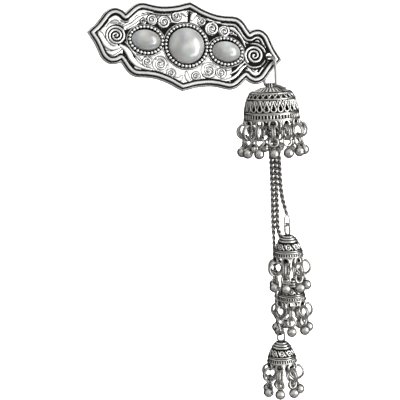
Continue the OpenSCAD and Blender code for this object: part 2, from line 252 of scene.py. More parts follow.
def catmull(P, per):
    """Smooth path through a short table of points."""
    P = np.asarray(P, float)
    n = len(P)
    out = []
    for i in range(n - 1):
        a, b, c, d = P[max(i - 1, 0)], P[i], P[i + 1], P[min(i + 2, n - 1)]
        for f in np.arange(per) / per:
            out.append(0.5 * (2 * b + (c - a) * f + (2 * a - 5 * b + 4 * c - d) * f * f + (3 * b - a - 3 * c + d) * f ** 3))
    out.append(P[-1])
    return np.array(out)


def resample(P, step):
    P = np.asarray(P, float)
    s = np.concatenate([[0], np.cumsum(np.linalg.norm(np.diff(P, axis=0), axis=1))])
    k = max(2, int(round(s[-1] / step)) + 1)
    t = np.linspace(0, s[-1], k)
    return np.stack([np.interp(t, s, P[:, i]) for i in range(P.shape[1])], 1)


# ---------------------------------------------------------------- materials
def node(nt, kind, **inputs):
    n = nt.nodes.new(kind)
    for k, v in inputs.items():
        if k.startswith("_"):
            setattr(n, k[1:], v)
        else:
            n.inputs[k.replace("_", " ")].default_value = v
    return n


def silver(name, bright, dark=(0.012, 0.012, 0.012, 1), rough=0.24, noise_scale=900.0, tarnish=0.25, metallic=1.0):
    """Antique silver: polished metal, black in the recesses (the oxide) and darker where painted shade is laid in, both
    read from one attribute, with soft stains and fine scratches.
    """
    mt = bpy.data.materials.new(name)
    mt.use_nodes = True
    nt = mt.node_tree
    L = nt.links.new
    b = nt.nodes["Principled BSDF"]
    tc = node(nt, "ShaderNodeTexCoord")
    at = node(nt, "ShaderNodeAttribute", _attribute_name="ox")
    n1 = node(nt, "ShaderNodeTexNoise", Scale=noise_scale, Detail=3.0, Roughness=0.6)
    n2 = node(nt, "ShaderNodeTexNoise", Scale=noise_scale * 0.16, Detail=2.0)
    L(tc.outputs["Object"], n1.inputs["Vector"])
    L(tc.outputs["Object"], n2.inputs["Vector"])
    # stains: a little noise added to the attribute, which holds the black oxide in the recesses and, on some parts,
    # painted shade
    add = node(nt, "ShaderNodeMath", _operation="MULTIPLY_ADD")
    L(n2.outputs["Fac"], add.inputs[0])
    add.inputs[1].default_value = tarnish
    L(at.outputs["Fac"], add.inputs[2])
    ramp = node(nt, "ShaderNodeMapRange", **{"From_Min": tarnish * 0.62, "From_Max": 0.75 + tarnish * 0.5, "To_Min": 0.0, "To_Max": 1.0})
    ramp.clamp = True
    L(add.outputs[0], ramp.inputs["Value"])
    mix = node(nt, "ShaderNodeMix", _data_type="RGBA")
    mix.inputs["A"].default_value = bright
    mix.inputs["B"].default_value = dark
    L(ramp.outputs["Result"], mix.inputs["Factor"])
    L(mix.outputs["Result"], b.inputs["Base Color"])
    b.inputs["Metallic"].default_value = metallic
    rr = node(nt, "ShaderNodeMapRange", **{"From_Min": 0.3, "From_Max": 0.7, "To_Min": rough * 0.8, "To_Max": rough * 1.3})
    L(n1.outputs["Fac"], rr.inputs["Value"])
    r2_ = node(nt, "ShaderNodeMath", _operation="MULTIPLY_ADD")
    L(ramp.outputs["Result"], r2_.inputs[0])
    r2_.inputs[1].default_value = 0.3
    L(rr.outputs["Result"], r2_.inputs[2])
    L(r2_.outputs[0], b.inputs["Roughness"])
    bump = node(nt, "ShaderNodeBump", Strength=0.08, Distance=0.00002)
    L(n1.outputs["Fac"], bump.inputs["Height"])
    L(bump.outputs["Normal"], b.inputs["Normal"])
    return mt


# One antique silver in several copies: the plate's copy is brightest, and the darker base colours of the tassel, wire,
# link, ball and chain copies are painted shade on the hanging parts
SILVER = silver("antique_silver", (0.95, 0.945, 0.925, 1))
SILVER_TASSEL = silver("antique_silver_tassel", (0.74, 0.73, 0.695, 1), rough=0.2, tarnish=0.3)
SILVER_WIRE = silver("antique_silver_wire", (0.47, 0.46, 0.435, 1), rough=0.22, tarnish=0.3)
SILVER_LINK = silver("antique_silver_link", (0.5, 0.49, 0.47, 1), rough=0.3, tarnish=0.3)
SILVER_BALL = silver("antique_silver_ball", (0.6, 0.59, 0.56, 1), rough=0.18, tarnish=0.35)
CHAIN = silver("chain_silver", (0.31, 0.30, 0.285, 1), rough=0.24, tarnish=0.3)
STEEL = silver("clip_steel", (0.66, 0.66, 0.66, 1), rough=0.34, noise_scale=600, tarnish=0.15, metallic=0.6)
PLATE_BACK = silver("plate_back_matte", (0.5, 0.495, 0.48, 1), rough=0.46, noise_scale=500, tarnish=0.45, metallic=0.5)


def pearl_material():
    mt = bpy.data.materials.new("pearl")
    mt.use_nodes = True
    nt = mt.node_tree
    L = nt.links.new
    b = nt.nodes["Principled BSDF"]
    tc = node(nt, "ShaderNodeTexCoord")
    n1 = node(nt, "ShaderNodeTexNoise", Scale=260.0, Detail=3.0)
    L(tc.outputs["Object"], n1.inputs["Vector"])
    n2 = node(nt, "ShaderNodeTexNoise", Scale=95.0, Detail=2.0, Distortion=0.6)
    L(tc.outputs["Object"], n2.inputs["Vector"])
    cloud = node(nt, "ShaderNodeMapRange", **{"From_Min": 0.4, "From_Max": 0.72, "To_Min": 0.0, "To_Max": 1.0})
    L(n2.outputs["Fac"], cloud.inputs["Value"])
    ramp = node(nt, "ShaderNodeMix", _data_type="RGBA")
    ramp.inputs["A"].default_value = (0.29, 0.288, 0.278, 1)
    ramp.inputs["B"].default_value = (0.50, 0.515, 0.50, 1)
    L(cloud.outputs["Result"], ramp.inputs["Factor"])
    mx = node(nt, "ShaderNodeMix", _data_type="RGBA", _blend_type="MULTIPLY")
    mx.inputs["Factor"].default_value = 0.25
    L(ramp.outputs["Result"], mx.inputs["A"])
    L(n1.outputs["Color"], mx.inputs["B"])
    L(mx.outputs["Result"], b.inputs["Base Color"])
    b.inputs["Metallic"].default_value = 0.35
    b.inputs["Roughness"].default_value = 0.3
    b.inputs["Coat Weight"].default_value = 0.7
    b.inputs["Coat Roughness"].default_value = 0.12
    b.inputs["Sheen Weight"].default_value = 0.2
    return mt


PEARL = pearl_material()

# ---------------------------------------------------------------- plate
# One quarter of the outer groove: columns along, up, sharp corner.
QUARTER = [(39.3, 0, 1), (38.1, 1.6, 0), (36.8, 3.1, 0), (35.4, 5.3, 0), (34.0, 7.8, 0), (33.0, 9.2, 0), (31.5, 10.3, 0),
           (29.9, 10.8, 0), (28.3, 10.55, 0), (27.0, 10.05, 0), (25.85, 9.1, 1), (24.6, 10.5, 0), (23.1, 12.3, 0),
           (21.6, 13.65, 0), (20.0, 14.4, 0), (18.3, 14.55, 0), (16.8, 14.4, 0), (14.3, 14.2, 0), (12.0, 14.2, 0),
           (9.7, 14.5, 0), (7.1, 15.1, 0), (4.6, 15.85, 0), (2.4, 16.8, 0), (0, 17.7, 1)]


def quarter_line():
    cuts = [i for i, r in enumerate(QUARTER) if r[2]]
    out = []
    for a, b in zip(cuts[:-1], cuts[1:]):
        out.append(catmull([r[:2] for r in QUARTER[a:b + 1]], 3)[:-1])
    out.append(np.array([QUARTER[-1][:2]], float))
    return np.concatenate(out)


LINE = quarter_line()


def seg_dist(p, a, b):
    """Distance of points p to the nearest segment a-b, and that segment's number and place."""
    ab = b - a
    best = np.full(len(p), 1e9)
    which = np.zeros(len(p), int)
    place = np.zeros(len(p))
    for i in range(len(a)):
        t = np.clip(((p - a[i]) @ ab[i]) / max(ab[i] @ ab[i], 1e-12), 0, 1)
        d = np.hypot(p[:, 0] - a[i, 0] - t * ab[i, 0], p[:, 1] - a[i, 1] - t * ab[i, 1])
        k = d < best
        best[k], which[k], place[k] = d[k], i, t[k]
    return best, which, place


def inside_depth(p):
    """Distance inside the outer groove, minus outside."""
    q = np.abs(p)
    d, w, t = seg_dist(q, LINE[:-1], LINE[1:])
    poly = np.concatenate([[[0, 0]], LINE])
    a, b = poly, np.roll(poly, -1, 0)
    inside = np.zeros(len(q), bool)
    for i in range(len(a)):
        if a[i, 1] == b[i, 1]:
            continue
        hit = ((a[i, 1] > q[:, 1]) != (b[i, 1] > q[:, 1])) & (q[:, 0] < (b[i, 0] - a[i, 0]) * (q[:, 1] - a[i, 1]) / (b[i, 1] - a[i, 1]) + a[i, 0])
        inside ^= hit
    return np.where(inside | (q[:, 1] <= 0) & (q[:, 0] < 39.3) | (q[:, 0] <= 0) & (q[:, 1] < 17.7), d, -d)


def outline_depth(p):
    """Signed depth inside the outer groove, with pointed tips outside it."""
    d = inside_depth(p)
    q = np.abs(p)
    for tip, nxt in ((LINE[0], LINE[1]), (LINE[-1], LINE[-2])):
        t = (nxt - tip) / np.linalg.norm(nxt - tip)
        n = np.array([t[1], -t[0]])
        if n @ tip < 0:
            n = -n
        r = q - tip
        k = (d < 0) & (r @ t < 0) & (np.hypot(r[:, 0], r[:, 1]) < 3)
        d[k] = -np.maximum(r[k] @ n, 0)
    return d


STEP = 0.17
LIP, HOLE, HOLE_R, PLATE_T, FLOOR = 1.0, np.array([34.9, 0.7]), 1.22, 1.9, -0.8
us = np.arange(-40.8, 40.81, STEP)
vs = np.arange(-19.05, 19.06, STEP)
GU, GV = np.meshgrid(us, vs, indexing="ij")
NU, NV = GU.shape
GP = np.stack([GU.ravel(), GV.ravel()], 1)
DEEP = outline_depth(GP).reshape(NU, NV)


def smooth01(x):
    x = np.clip(x, 0, 1)
    return x * x * (3 - 2 * x)


def band(x, c, w):
    """1 at c, falling to 0 at a distance w, round."""
    return np.sqrt(np.clip(1 - ((x - c) / w) ** 2, 0, 1))


ROUND_R = 8.45
OVAL_A, OVAL_B, OVAL_AT = 6.7, 5.37, 16.6


def ring_dist(u, v):
    """Signed distance outside the middle line of the nearest bead ring."""
    d = np.hypot(u, v) - ROUND_R
    for s in (-1, 1):
        x, y = u - s * OVAL_AT, v
        f = np.sqrt((x / OVAL_A) ** 2 + (y / OVAL_B) ** 2)
        g = np.sqrt((x / OVAL_A ** 2) ** 2 + (y / OVAL_B ** 2) ** 2) / np.maximum(f, 1e-6)
        d = np.minimum(d, (f - 1) / np.maximum(g, 1e-6))
    return d


RING = ring_dist(GU, GV)
H = np.full((NU, NV), FLOOR)
OX = np.full((NU, NV), 0.92)
# a grain in the blackened floor, so that it is not flat
H += 0.025 * np.sin(GU * 7.3 + 1.7 * np.sin(GV * 3.1)) * np.sin(GV * 6.1 + 1.3 * np.sin(GU * 2.7))


def window(P, r):
    lo, hi = P.min(0) - r, P.max(0) + r
    i0, i1 = np.searchsorted(us, lo[0]), np.searchsorted(us, hi[0])
    j0, j1 = np.searchsorted(vs, lo[1]), np.searchsorted(vs, hi[1])
    return slice(max(i0 - 1, 0), i1 + 1), slice(max(j0 - 1, 0), j1 + 1)


def stroke(P, r, top, tone=0.0, kind="wire", edge=0.28, smooth=True):
    """Raised line along P, with radius r at each point, and a black line round its foot."""
    P = np.asarray(P, float)
    r = np.broadcast_to(np.asarray(r, float), (len(P),))
    if smooth and len(P) > 2:
        Q = catmull(np.column_stack([P, r]), 6)
    else:
        Q = np.column_stack([P, r])
    w = window(Q[:, :2], Q[:, 2].max() + edge + 0.3)
    u, v = GU[w], GV[w]
    D = np.full(u.shape, 9.0)
    E = np.full(u.shape, 9.0)
    for a, b in zip(Q[:-1], Q[1:]):
        ab = b[:2] - a[:2]
        t = np.clip(((u - a[0]) * ab[0] + (v - a[1]) * ab[1]) / max(ab @ ab, 1e-9), 0, 1)
        d = np.hypot(u - a[0] - t * ab[0], v - a[1] - t * ab[1])
        rr = np.maximum(a[2] + t * (b[2] - a[2]), 0.05)
        D = np.minimum(D, d / rr)
        E = np.minimum(E, d - rr)
    h, o = H[w], OX[w]
    low = h < FLOOR + 0.2
    foot = low & (E > -0.05) & (E < edge)
    o[foot] = np.maximum(o[foot], 0.95)
    foot = ~low & (h < -0.4) & (E > -0.05) & (E < min(edge, 0.2))
    o[foot] = np.maximum(o[foot], 0.75)
    h[foot] = np.minimum(h[foot], FLOOR + 0.1)
    f = band(D, 0, 1.0) if kind == "wire" else np.clip(1 - D ** 6, 0, 1) ** 0.5 * (0.86 + 0.14 * np.clip(1 - D * D, 0, 1))
    hh = FLOOR + (top - FLOOR) * f
    k = (D < 1) & (hh > h)
    h[k] = hh[k]
    o[k] = tone + 0.7 * np.clip((D[k] - 0.8) / 0.2, 0, 1)
    H[w], OX[w] = h, o


def pad(test, top, tone):
    """Bright raised ground where test is above 0 (millimetres inside its edge)."""
    k = (test > 0) & (H < top)
    H[k] = np.maximum(H[k], FLOOR + (top - FLOOR) * smooth01(test[k] / 0.25))
    OX[k] = tone + 0.8 * (1 - smooth01(test[k] / 0.22))


def spiral(c, r0, r1, a0, a1, n=None):
    a = np.radians(np.linspace(a0, a1, n or max(8, int(abs(a1 - a0) / 14))))
    r = np.linspace(r0, r1, len(a))
    return np.stack([c[0] + r * np.cos(a), c[1] + r * np.sin(a)], 1)


def scroll(c, r, start, hand, ground=True, tone=0.0, turns=1.35, w=0.15, dark=0.85):
    """Curl that winds in from start (degrees), hand +1 anticlockwise, with a bead at its eye."""
    if ground:
        pad(r * 1.02 - np.hypot(GU - c[0], GV - c[1]), -0.5, tone + 0.02)
        k = np.abs(np.hypot(GU - c[0], GV - c[1]) - r * 1.1) < 0.17
        OX[k] = np.maximum(OX[k], dark)
        H[k] = np.minimum(H[k], FLOOR + 0.1)
    P = spiral(c, r * 0.93, r * 0.3, start, start + hand * 360 * turns)
    rr = np.linspace(w * r + 0.08, w * r * 0.8 + 0.05, len(P))
    stroke(P, rr, -0.12, tone, edge=0.2, smooth=False)
    # the black line between the turns
    Q = spiral(c, r * 0.66, r * 0.3, start + 40 * hand, start + hand * 360 * (turns - 0.2))
    win = window(Q, 0.4)
    D = np.full(GU[win].shape, 9.0)
    for a, b in zip(Q[:-1], Q[1:]):
        ab = b - a
        t = np.clip(((GU[win] - a[0]) * ab[0] + (GV[win] - a[1]) * ab[1]) / max(ab @ ab, 1e-9), 0, 1)
        D = np.minimum(D, np.hypot(GU[win] - a[0] - t * ab[0], GV[win] - a[1] - t * ab[1]))
    h, o = H[win], OX[win]
    k = (D < 0.18) & (h < -0.3)
    o[k] = np.maximum(o[k], dark)
    h[k] -= 0.12
    H[win], OX[win] = h, o
    stroke([c, (c[0] + 0.01, c[1])], 0.21 * r, -0.1, tone, edge=0.15, smooth=False)


# bright grounds
EDGE_IN = DEEP - 2.25
left_end = (GU < -24.6) & (GV < 3.4 - 0.18 * (GU + 40))
SPI = np.hypot(GU + 28.7, GV - 0.2) - 4.45
pad(np.where((GU < -28.0), np.minimum(EDGE_IN, SPI), -1), -0.5, 0.03)
pad(np.where((GU < -25.5) & (np.abs(GV) > 3.5), np.minimum(EDGE_IN, SPI), -1), -0.5, 0.03)
pad(np.where((GU > -26) & (GU < -15.5) & (GV > 2.5), np.minimum(np.minimum(EDGE_IN, RING - 1.7), 4.0 - EDGE_IN), -1), -0.52, 0.05)
pad(np.where((GV < 0) & (np.abs(GU + 0.25) < 20.0) & (RING > 1.35), np.minimum(EDGE_IN, 20.0 - np.abs(GU + 0.25)), -1), -0.52, 0.06)
pad(np.where((GV > 9) & (GU < -0.4) & (GU > -16), np.minimum(np.minimum(EDGE_IN, RING - 1.5), -GU - 0.4), -1), -0.52, 0.06)
pad(np.where((GV > 9) & (GU > 0.5) & (GU < 5.5), np.minimum(np.minimum(EDGE_IN, RING - 1.4), GU - 0.5), -1), -0.52, 0.05)

# wires that follow the rim
for c, r, test in ((2.68, 0.25, (GU > -26) & (GV > 0) & (GU < 14) | (GU < -24) & (GV > 3)), (2.8, 0.36, (GU > 14) & (GU < 25.6) & (GV > 0)),
                   (4.15, 0.3, (GU > 16) & (GU < 25.6) & (GV > 0)), (3.5, 0.22, (GU < -12) & (GU > -25.5) & (GV > 2))):
    f = band(DEEP, c, r)
    hh = FLOOR + (-0.2 - FLOOR) * f
    k = (f > 0) & test & (hh > H) & (RING > 1.2)
    H[k] = hh[k]
    OX[k] = 0.6 * (1 - smooth01(f[k] / 0.5))
    k = (np.abs(DEEP - c) > r) & (np.abs(DEEP - c) < r + 0.25) & test & (RING > 1.0)
    OX[k] = np.maximum(OX[k], 0.93)
    H[k] = np.minimum(H[k], FLOOR)

# close lines round the right end, between the rim and the spiral
AWAY = np.minimum(np.hypot(GU - 28.7, GV - 0.2) - 6.0, np.hypot(GU - HOLE[0], GV - HOLE[1]) - HOLE_R - 0.7)
for c, r in ((2.8, 0.36), (4.25, 0.36), (5.7, 0.33)):
    f = band(DEEP, c, r) * (AWAY > 0)
    hh = FLOOR + (-0.18 - FLOOR) * f
    k = (f > 0) & (GU > 25.6) & (hh > H)
    H[k] = hh[k]
    OX[k] = 0.6 * (1 - smooth01(f[k] / 0.5))

# end spirals
turn_ = np.linspace(-110, 1000, 80)
rad_ = np.interp(turn_, [-110, 800, 1000], [0.15, 3.55, 4.05])
stroke(np.stack([-28.7 + rad_ * np.cos(np.radians(turn_)), 0.2 + rad_ * np.sin(np.radians(turn_))], 1), np.linspace(0.3, 0.46, 80), -0.1, 0.0, edge=0.4, smooth=False)
stroke(spiral((28.7, 0.2), 0.0, 4.0, 40, 950, 66), np.linspace(0.32, 0.5, 66), -0.1, 0.0, edge=0.45, smooth=False)
# open turn round the right spiral, broken where the hole is
stroke(spiral((28.7, 0.2), 5.0, 4.8, 114, 24, 16), np.interp(np.linspace(0, 1, 16), [0, 0.55, 1], [0.16, 0.46, 0.3]), -0.15, 0.0, edge=0.3, smooth=False)
stroke(spiral((28.7, 0.2), 4.85, 5.15, -16, -152, 22), np.interp(np.linspace(0, 1, 22), [0, 0.5, 1], [0.2, 0.36, 0.2]), -0.15, 0.0, edge=0.3, smooth=False)
# left end
stroke([(-35.6, 0.6), (-34.9, -0.6), (-33.7, -2.4), (-31.9, -4.2), (-29.6, -5.1), (-27.2, -4.3)], [0.5, 1.0, 1.15, 1.1, 0.9, 0.5], -0.3, 0.0, "leaf")
stroke([(-32.0, 6.1), (-30.3, 7.2), (-28.7, 7.0), (-27.8, 5.9)], [0.5, 0.85, 0.75, 0.35], -0.25, 0.0, "leaf")
stroke([(-32.6, 5.2), (-30.6, 5.3), (-28.6, 5.1), (-26.9, 5.0)], [0.15, 0.24, 0.24, 0.2], -0.25)
stroke([(-31.6, -6.8), (-29.9, -7.2), (-28.2, -6.3), (-26.4, -4.9)], [0.5, 0.85, 0.7, 0.4], -0.25, 0.0, "leaf")
stroke([(-26.6, -3.6), (-24.6, -4.5), (-23.0, -6.2), (-21.6, -8.3), (-19.3, -10.2), (-16.3, -11.2), (-13.2, -11.6)],
       [0.6, 1.0, 1.15, 1.15, 1.0, 0.7, 0.4], -0.25, 0.0, "leaf")
stroke([(-24.8, -1.9), (-23.2, -3.2), (-21.5, -5.2), (-19.4, -7.2), (-17.9, -8.4)], [0.25, 0.4, 0.45, 0.4, 0.3], -0.2)
stroke([(-26.4, 4.6), (-24.5, 5.9), (-22.7, 7.8), (-20.0, 9.9), (-17.2, 10.9)], [0.25, 0.32, 0.34, 0.3, 0.25], -0.2)
stroke([(-24.7, 3.4), (-23.1, 4.5), (-20.9, 6.4), (-18.7, 8.9)], [0.25, 0.34, 0.4, 0.3], -0.2)
stroke([(-24.3, 7.0), (-22.7, 9.1), (-20.4, 11.1), (-17.6, 11.9), (-14.9, 11.9)], [0.2, 0.55, 0.7, 0.6, 0.3], -0.25, 0.0, "leaf")
# right end
stroke([(26.4, -5.4), (27.9, -6.9), (29.4, -7.4), (30.6, -6.9)], [0.3, 0.6, 0.65, 0.4], -0.22, 0.0, "leaf")
stroke([(26.4, 6.3), (27.7, 7.0), (28.9, 8.0)], [0.2, 0.3, 0.2], -0.25)
stroke([(17.4, 10.0), (20.0, 9.2), (22.4, 7.0), (24.6, 3.4)], [0.35, 0.5, 0.42, 0.25], -0.2)
stroke([(18.9, 8.0), (20.4, 7.4)], [0.35, 0.3], -0.2)
stroke([(14.5, -12.2), (17.5, -11.8), (20.0, -10.7), (22.3, -8.6), (24.0, -5.9), (25.5, -4.5)], [0.3, 0.5, 0.58, 0.52, 0.5, 0.25], -0.22, 0.0, "leaf")
stroke([(19.2, -8.9), (21.3, -7.3), (23.0, -5.2), (24.9, -3.1)], [0.25, 0.4, 0.4, 0.25], -0.2)
stroke([(17.6, -7.2), (19.4, -6.8)], [0.5, 0.25], -0.2)

# scroll rows
scroll((-15.0, 8.7), 2.1, 60, 1)
scroll((-18.4, 7.6), 1.25, 20, 1, turns=1.0)
scroll((-9.9, 8.6), 2.5, 200, 1)
scroll((-5.2, 11.6), 1.9, 20, 1)
stroke([(-4.2, 13.6), (-2.6, 13.9), (-1.2, 12.8)], [0.5, 0.95, 0.7], -0.2, 0.0, "leaf")
stroke([(1.1, 11.4), (1.8, 13.2), (2.7, 14.0)], [0.6, 0.95, 0.4], -0.2, 0.0, "leaf")
scroll((5.4, 11.0), 1.75, 120, -1)
scroll((9.9, 8.7), 2.75, 90, -1, w=0.14)
scroll((15.1, 8.4), 2.3, 60, -1, w=0.15)
scroll((18.1, 8.2), 0.95, 30, -1, ground=False, turns=0.9)
stroke([(7.6, 12.6), (10.6, 11.9), (13.2, 11.9)], [0.2, 0.3, 0.2], -0.2)
scroll((-15.2, -8.6), 2.1, 250, -1, dark=0.46)
scroll((-10.0, -8.9), 3.0, 130, -1, w=0.13, dark=0.46)
scroll((-5.2, -12.0), 1.8, 200, -1, dark=0.5)
stroke([(-3.5, -13.9), (-1.8, -14.0), (-0.8, -12.8)], [0.5, 0.8, 0.5], -0.2, 0.0, "leaf")
stroke([(0.9, -11.0), (1.6, -13.0), (2.9, -14.3)], [0.5, 0.9, 0.4], -0.2, 0.0, "leaf")
scroll((5.0, -11.9), 1.8, 60, 1, dark=0.5)
scroll((10.1, -8.7), 3.1, 230, 1, w=0.13, dark=0.46)
scroll((15.3, -8.9), 2.1, 280, 1, dark=0.5)
for s in (-1, 1):
    stroke([(s * 7.4, -13.1), (s * 9.6, -12.7), (s * 12.4, -12.2)], [0.3, 0.4, 0.25], -0.2)

# bead seats
k = RING < 0.74
k2 = k & (RING > -0.95)
H[k] = FLOOR
OX[k] = 0.97
seat = band(RING, 0, 0.62)
H[k2] = np.maximum(H[k2], FLOOR + (0.1 - FLOOR) * seat[k2])
rim_wire = band(RING, 0.98, 0.22)
k3 = (rim_wire > 0) & (RING > 0.74)
H[k3] = np.maximum(H[k3], FLOOR + (-0.3 - FLOOR) * rim_wire[k3])
OX[k3] = np.minimum(OX[k3], 0.15)

# rim: lip, groove, band, groove
d = DEEP
rim = np.full((NU, NV), -9.0)
lip = -0.95 + 0.83 * smooth01((d + LIP) / 0.75) ** 0.8
rim = np.where(d < 0.0, lip, rim)
rim = np.where((d >= 0.0) & (d < 2.2), 0.0 - 0.05 * np.abs((d - 0.95) / 0.7) ** 3, rim)
g1 = band(d, 0.02, 0.36)
g2 = band(d, 1.86, 0.38)
rim = np.where(g1 > 0, np.minimum(rim, -0.1 - 0.45 * g1), rim)
rim = np.where(g2 > 0, np.minimum(rim, -0.1 - 0.6 * g2), rim)
hole_d_ = np.hypot(GU - HOLE[0], GV - HOLE[1]) - HOLE_R
near = smooth01(1 - (hole_d_ - 0.15) / 0.35)
k = d < 2.2
H[k] = rim[k]
OX[k] = np.where(d[k] < -0.36, 0.3, 0.29)
OX = np.where(g1 > 0, np.clip(1.7 * g1, 0, 1), OX)
OX = np.where(g2 > 0, np.clip(1.7 * g2, 0, 1), OX)
k = (hole_d_ < 0.9) & (d > 2.2)
H[k] = np.maximum(H[k], FLOOR + 0.5 * near[k])
OX[k] = 0.92 - 0.35 * near[k]
# soften the steps a little
for _ in range(1):
    H[1:-1, 1:-1] = 0.6 * H[1:-1, 1:-1] + 0.1 * (H[:-2, 1:-1] + H[2:, 1:-1] + H[1:-1, :-2] + H[1:-1, 2:])

# mesh: front, walls, back
FULL = np.minimum(DEEP + LIP, hole_d_)
gx, gy = np.gradient(FULL, STEP)
gn = np.maximum(np.hypot(gx, gy), 0.3)
keep = FULL > -0.95 * STEP
SU, SV = GU.copy(), GV.copy()
out = keep & (FULL < 0.35 * STEP)
SU[out] -= (FULL * gx / gn ** 2)[out]
SV[out] -= (FULL * gy / gn ** 2)[out]
H = np.where(np.isfinite(H), H, FLOOR)
q = keep[:-1, :-1] & keep[1:, :-1] & keep[1:, 1:] & keep[:-1, 1:]
qi, qj = np.nonzero(q)
F4 = np.stack([qi * NV + qj, (qi + 1) * NV + qj, (qi + 1) * NV + qj + 1, qi * NV + qj + 1], 1)
used, inv = np.unique(F4, return_inverse=True)
F4 = inv.reshape(-1, 4)
PV = np.stack([SU.ravel()[used], SV.ravel()[used], H.ravel()[used]], 1)
PA = OX.ravel()[used]
WALL_IN = np.stack([(gx / gn).ravel()[used], (gy / gn).ravel()[used]], 1)
E = np.concatenate([F4[:, [0, 1]], F4[:, [1, 2]], F4[:, [2, 3]], F4[:, [3, 0]]])
key = np.sort(E, 1)
_, first, cnt = np.unique(key, axis=0, return_index=True, return_counts=True)
B = E[first[cnt == 1]]
nxt = {}
for a, b in B:
    nxt.setdefault(int(a), []).append(int(b))
loops = []
while nxt:
    a = next(iter(nxt))
    loop = [a]
    while True:
        b = nxt[a].pop()
        if not nxt[a]:
            del nxt[a]
        if b == loop[0]:
            break
        loop.append(b)
        a = b
        if a not in nxt:
            break
    loops.append(loop)
loops = [l for l in loops if len(l) > 8]
bag_V, bag_Q, bag_A = [PV], [F4], [PA]
n0 = len(PV)
back_loops = []
for l in loops:
    l = np.array(l)
    depth = [0.0, 0.35, 0.8, 1.0]
    prev = l
    for f in depth[1:]:
        W = PV[l].copy()
        W[:, 2] = W[:, 2] * (1 - f) - PLATE_T * f
        W[:, :2] += WALL_IN[l] * (0.9 * f)
        ids = n0 + np.arange(len(l))
        n0 += len(l)
        bag_V.append(W)
        bag_A.append(np.full(len(l), 0.12))
        bag_Q.append(np.stack([prev, ids, np.roll(ids, -1), np.roll(prev, -1)], 1))
        prev = ids
    back_loops.append(prev)
V = np.concatenate(bag_V)
from mathutils.geometry import tessellate_polygon
flat = [i for l in back_loops for i in l]
tri = tessellate_polygon([[Vector((V[i][0], V[i][1], 0)) for i in l] for l in sorted(back_loops, key=len, reverse=True)])
order = [i for l in sorted(back_loops, key=len, reverse=True) for i in l]
T = np.array([[order[a], order[b], order[c]] for a, b, c in tri])
a, b, c = V[T[:, 0]], V[T[:, 1]], V[T[:, 2]]
area = (b[:, 0] - a[:, 0]) * (c[:, 1] - a[:, 1]) - (b[:, 1] - a[:, 1]) * (c[:, 0] - a[:, 0])
T[area > 0] = T[area > 0][:, ::-1]
plate_ob = make("plate_relief", plate_to_row(V), [np.concatenate(bag_Q), T], "clip", SILVER, "silver", "plate",
                attr=np.concatenate(bag_A), flat_angle=60)
plate_ob.data.materials.append(PLATE_BACK)   # the cast back is matte
for p_ in plate_ob.data.polygons[len(plate_ob.data.polygons) - len(T):]:
    p_.material_index = 1
print("plate verts", len(V), "quads", sum(len(x) for x in bag_Q), "back tris", len(T), "loops", [len(l) for l in loops])

# beads round the pearls
beads = Bag()
for k in range(36):
    a = math.radians(k * 10 + 4)
    v_, q_, t_ = ball(0.62, 12, 8, (ROUND_R * math.cos(a), ROUND_R * math.sin(a), 0.22))
    beads.add(v_, q_, t_, np.clip(0.5 - (v_[:, 2] - 0.1) / 0.5, 0, 0.8))
for s in (-1, 1):
    a = np.radians(np.arange(720) * 0.5)
    P = np.stack([OVAL_A * np.cos(a), OVAL_B * np.sin(a)], 1)
    L_ = np.concatenate([[0], np.cumsum(np.linalg.norm(np.diff(np.vstack([P, P[:1]]), axis=0), axis=1))])
    for k in range(26):
        i = int(np.searchsorted(L_, (k + 0.4) / 26 * L_[-1])) % 720
        v_, q_, t_ = ball(0.62, 12, 8, (s * OVAL_AT + P[i, 0], P[i, 1], 0.2))
        beads.add(v_, q_, t_, np.clip(0.5 - (v_[:, 2] - 0.1) / 0.5, 0, 0.8))
beads.make("setting_beads", "clip", SILVER, "silver", None, plate_to_row)


def pearl(name, node_name, a, b, h, skirt, at):
    n, L_ = 96, 26
    t = np.linspace(0, math.pi / 2, L_)
    rows = [(1.0, 0.0), (1.0, skirt)] + [(math.cos(x) ** 0.92 if x < 1.57 else 0.0, skirt + (h - skirt) * math.sin(x)) for x in t[1:-1]]
    ang = np.arange(n) * 2 * math.pi / n
    V = np.concatenate([np.stack([at + a * r * np.cos(ang), b * r * np.sin(ang), np.full(n, z)], 1) for r, z in rows])
    Q = grid_faces(len(rows), n, wrap_m=True)[:, ::-1]
    top, foot = len(V), len(V) + 1
    V = np.concatenate([V, [[at, 0, h], [at, 0, 0]]])
    i = np.arange(n)
    T = np.concatenate([np.stack([top - n + i, top - n + (i + 1) % n, np.full(n, top)], 1),
                        np.stack([(i + 1) % n, i, np.full(n, foot)], 1)])
    V[:, 2] += FLOOR + 0.05
    return make(name, plate_to_row(V), [Q, T], "clip", PEARL, "pearl", node_name, flat_angle=50)


pearl("half_pearl_centre", "pearl_centre", 7.32, 7.32, 4.8, 0.8, 0.0)
pearl("half_pearl_left", "pearl_left", 6.0, 4.22, 3.9, 0.3, -OVAL_AT)
pearl("half_pearl_right", "pearl_right", 6.0, 4.22, 3.9, 0.3, OVAL_AT)


# the clip behind the plate: a flat bar, a sprung bow, a rolled hinge and a catch
GAP, CT, CW, CE = 8.5, 1.0, 5.5, 30.0


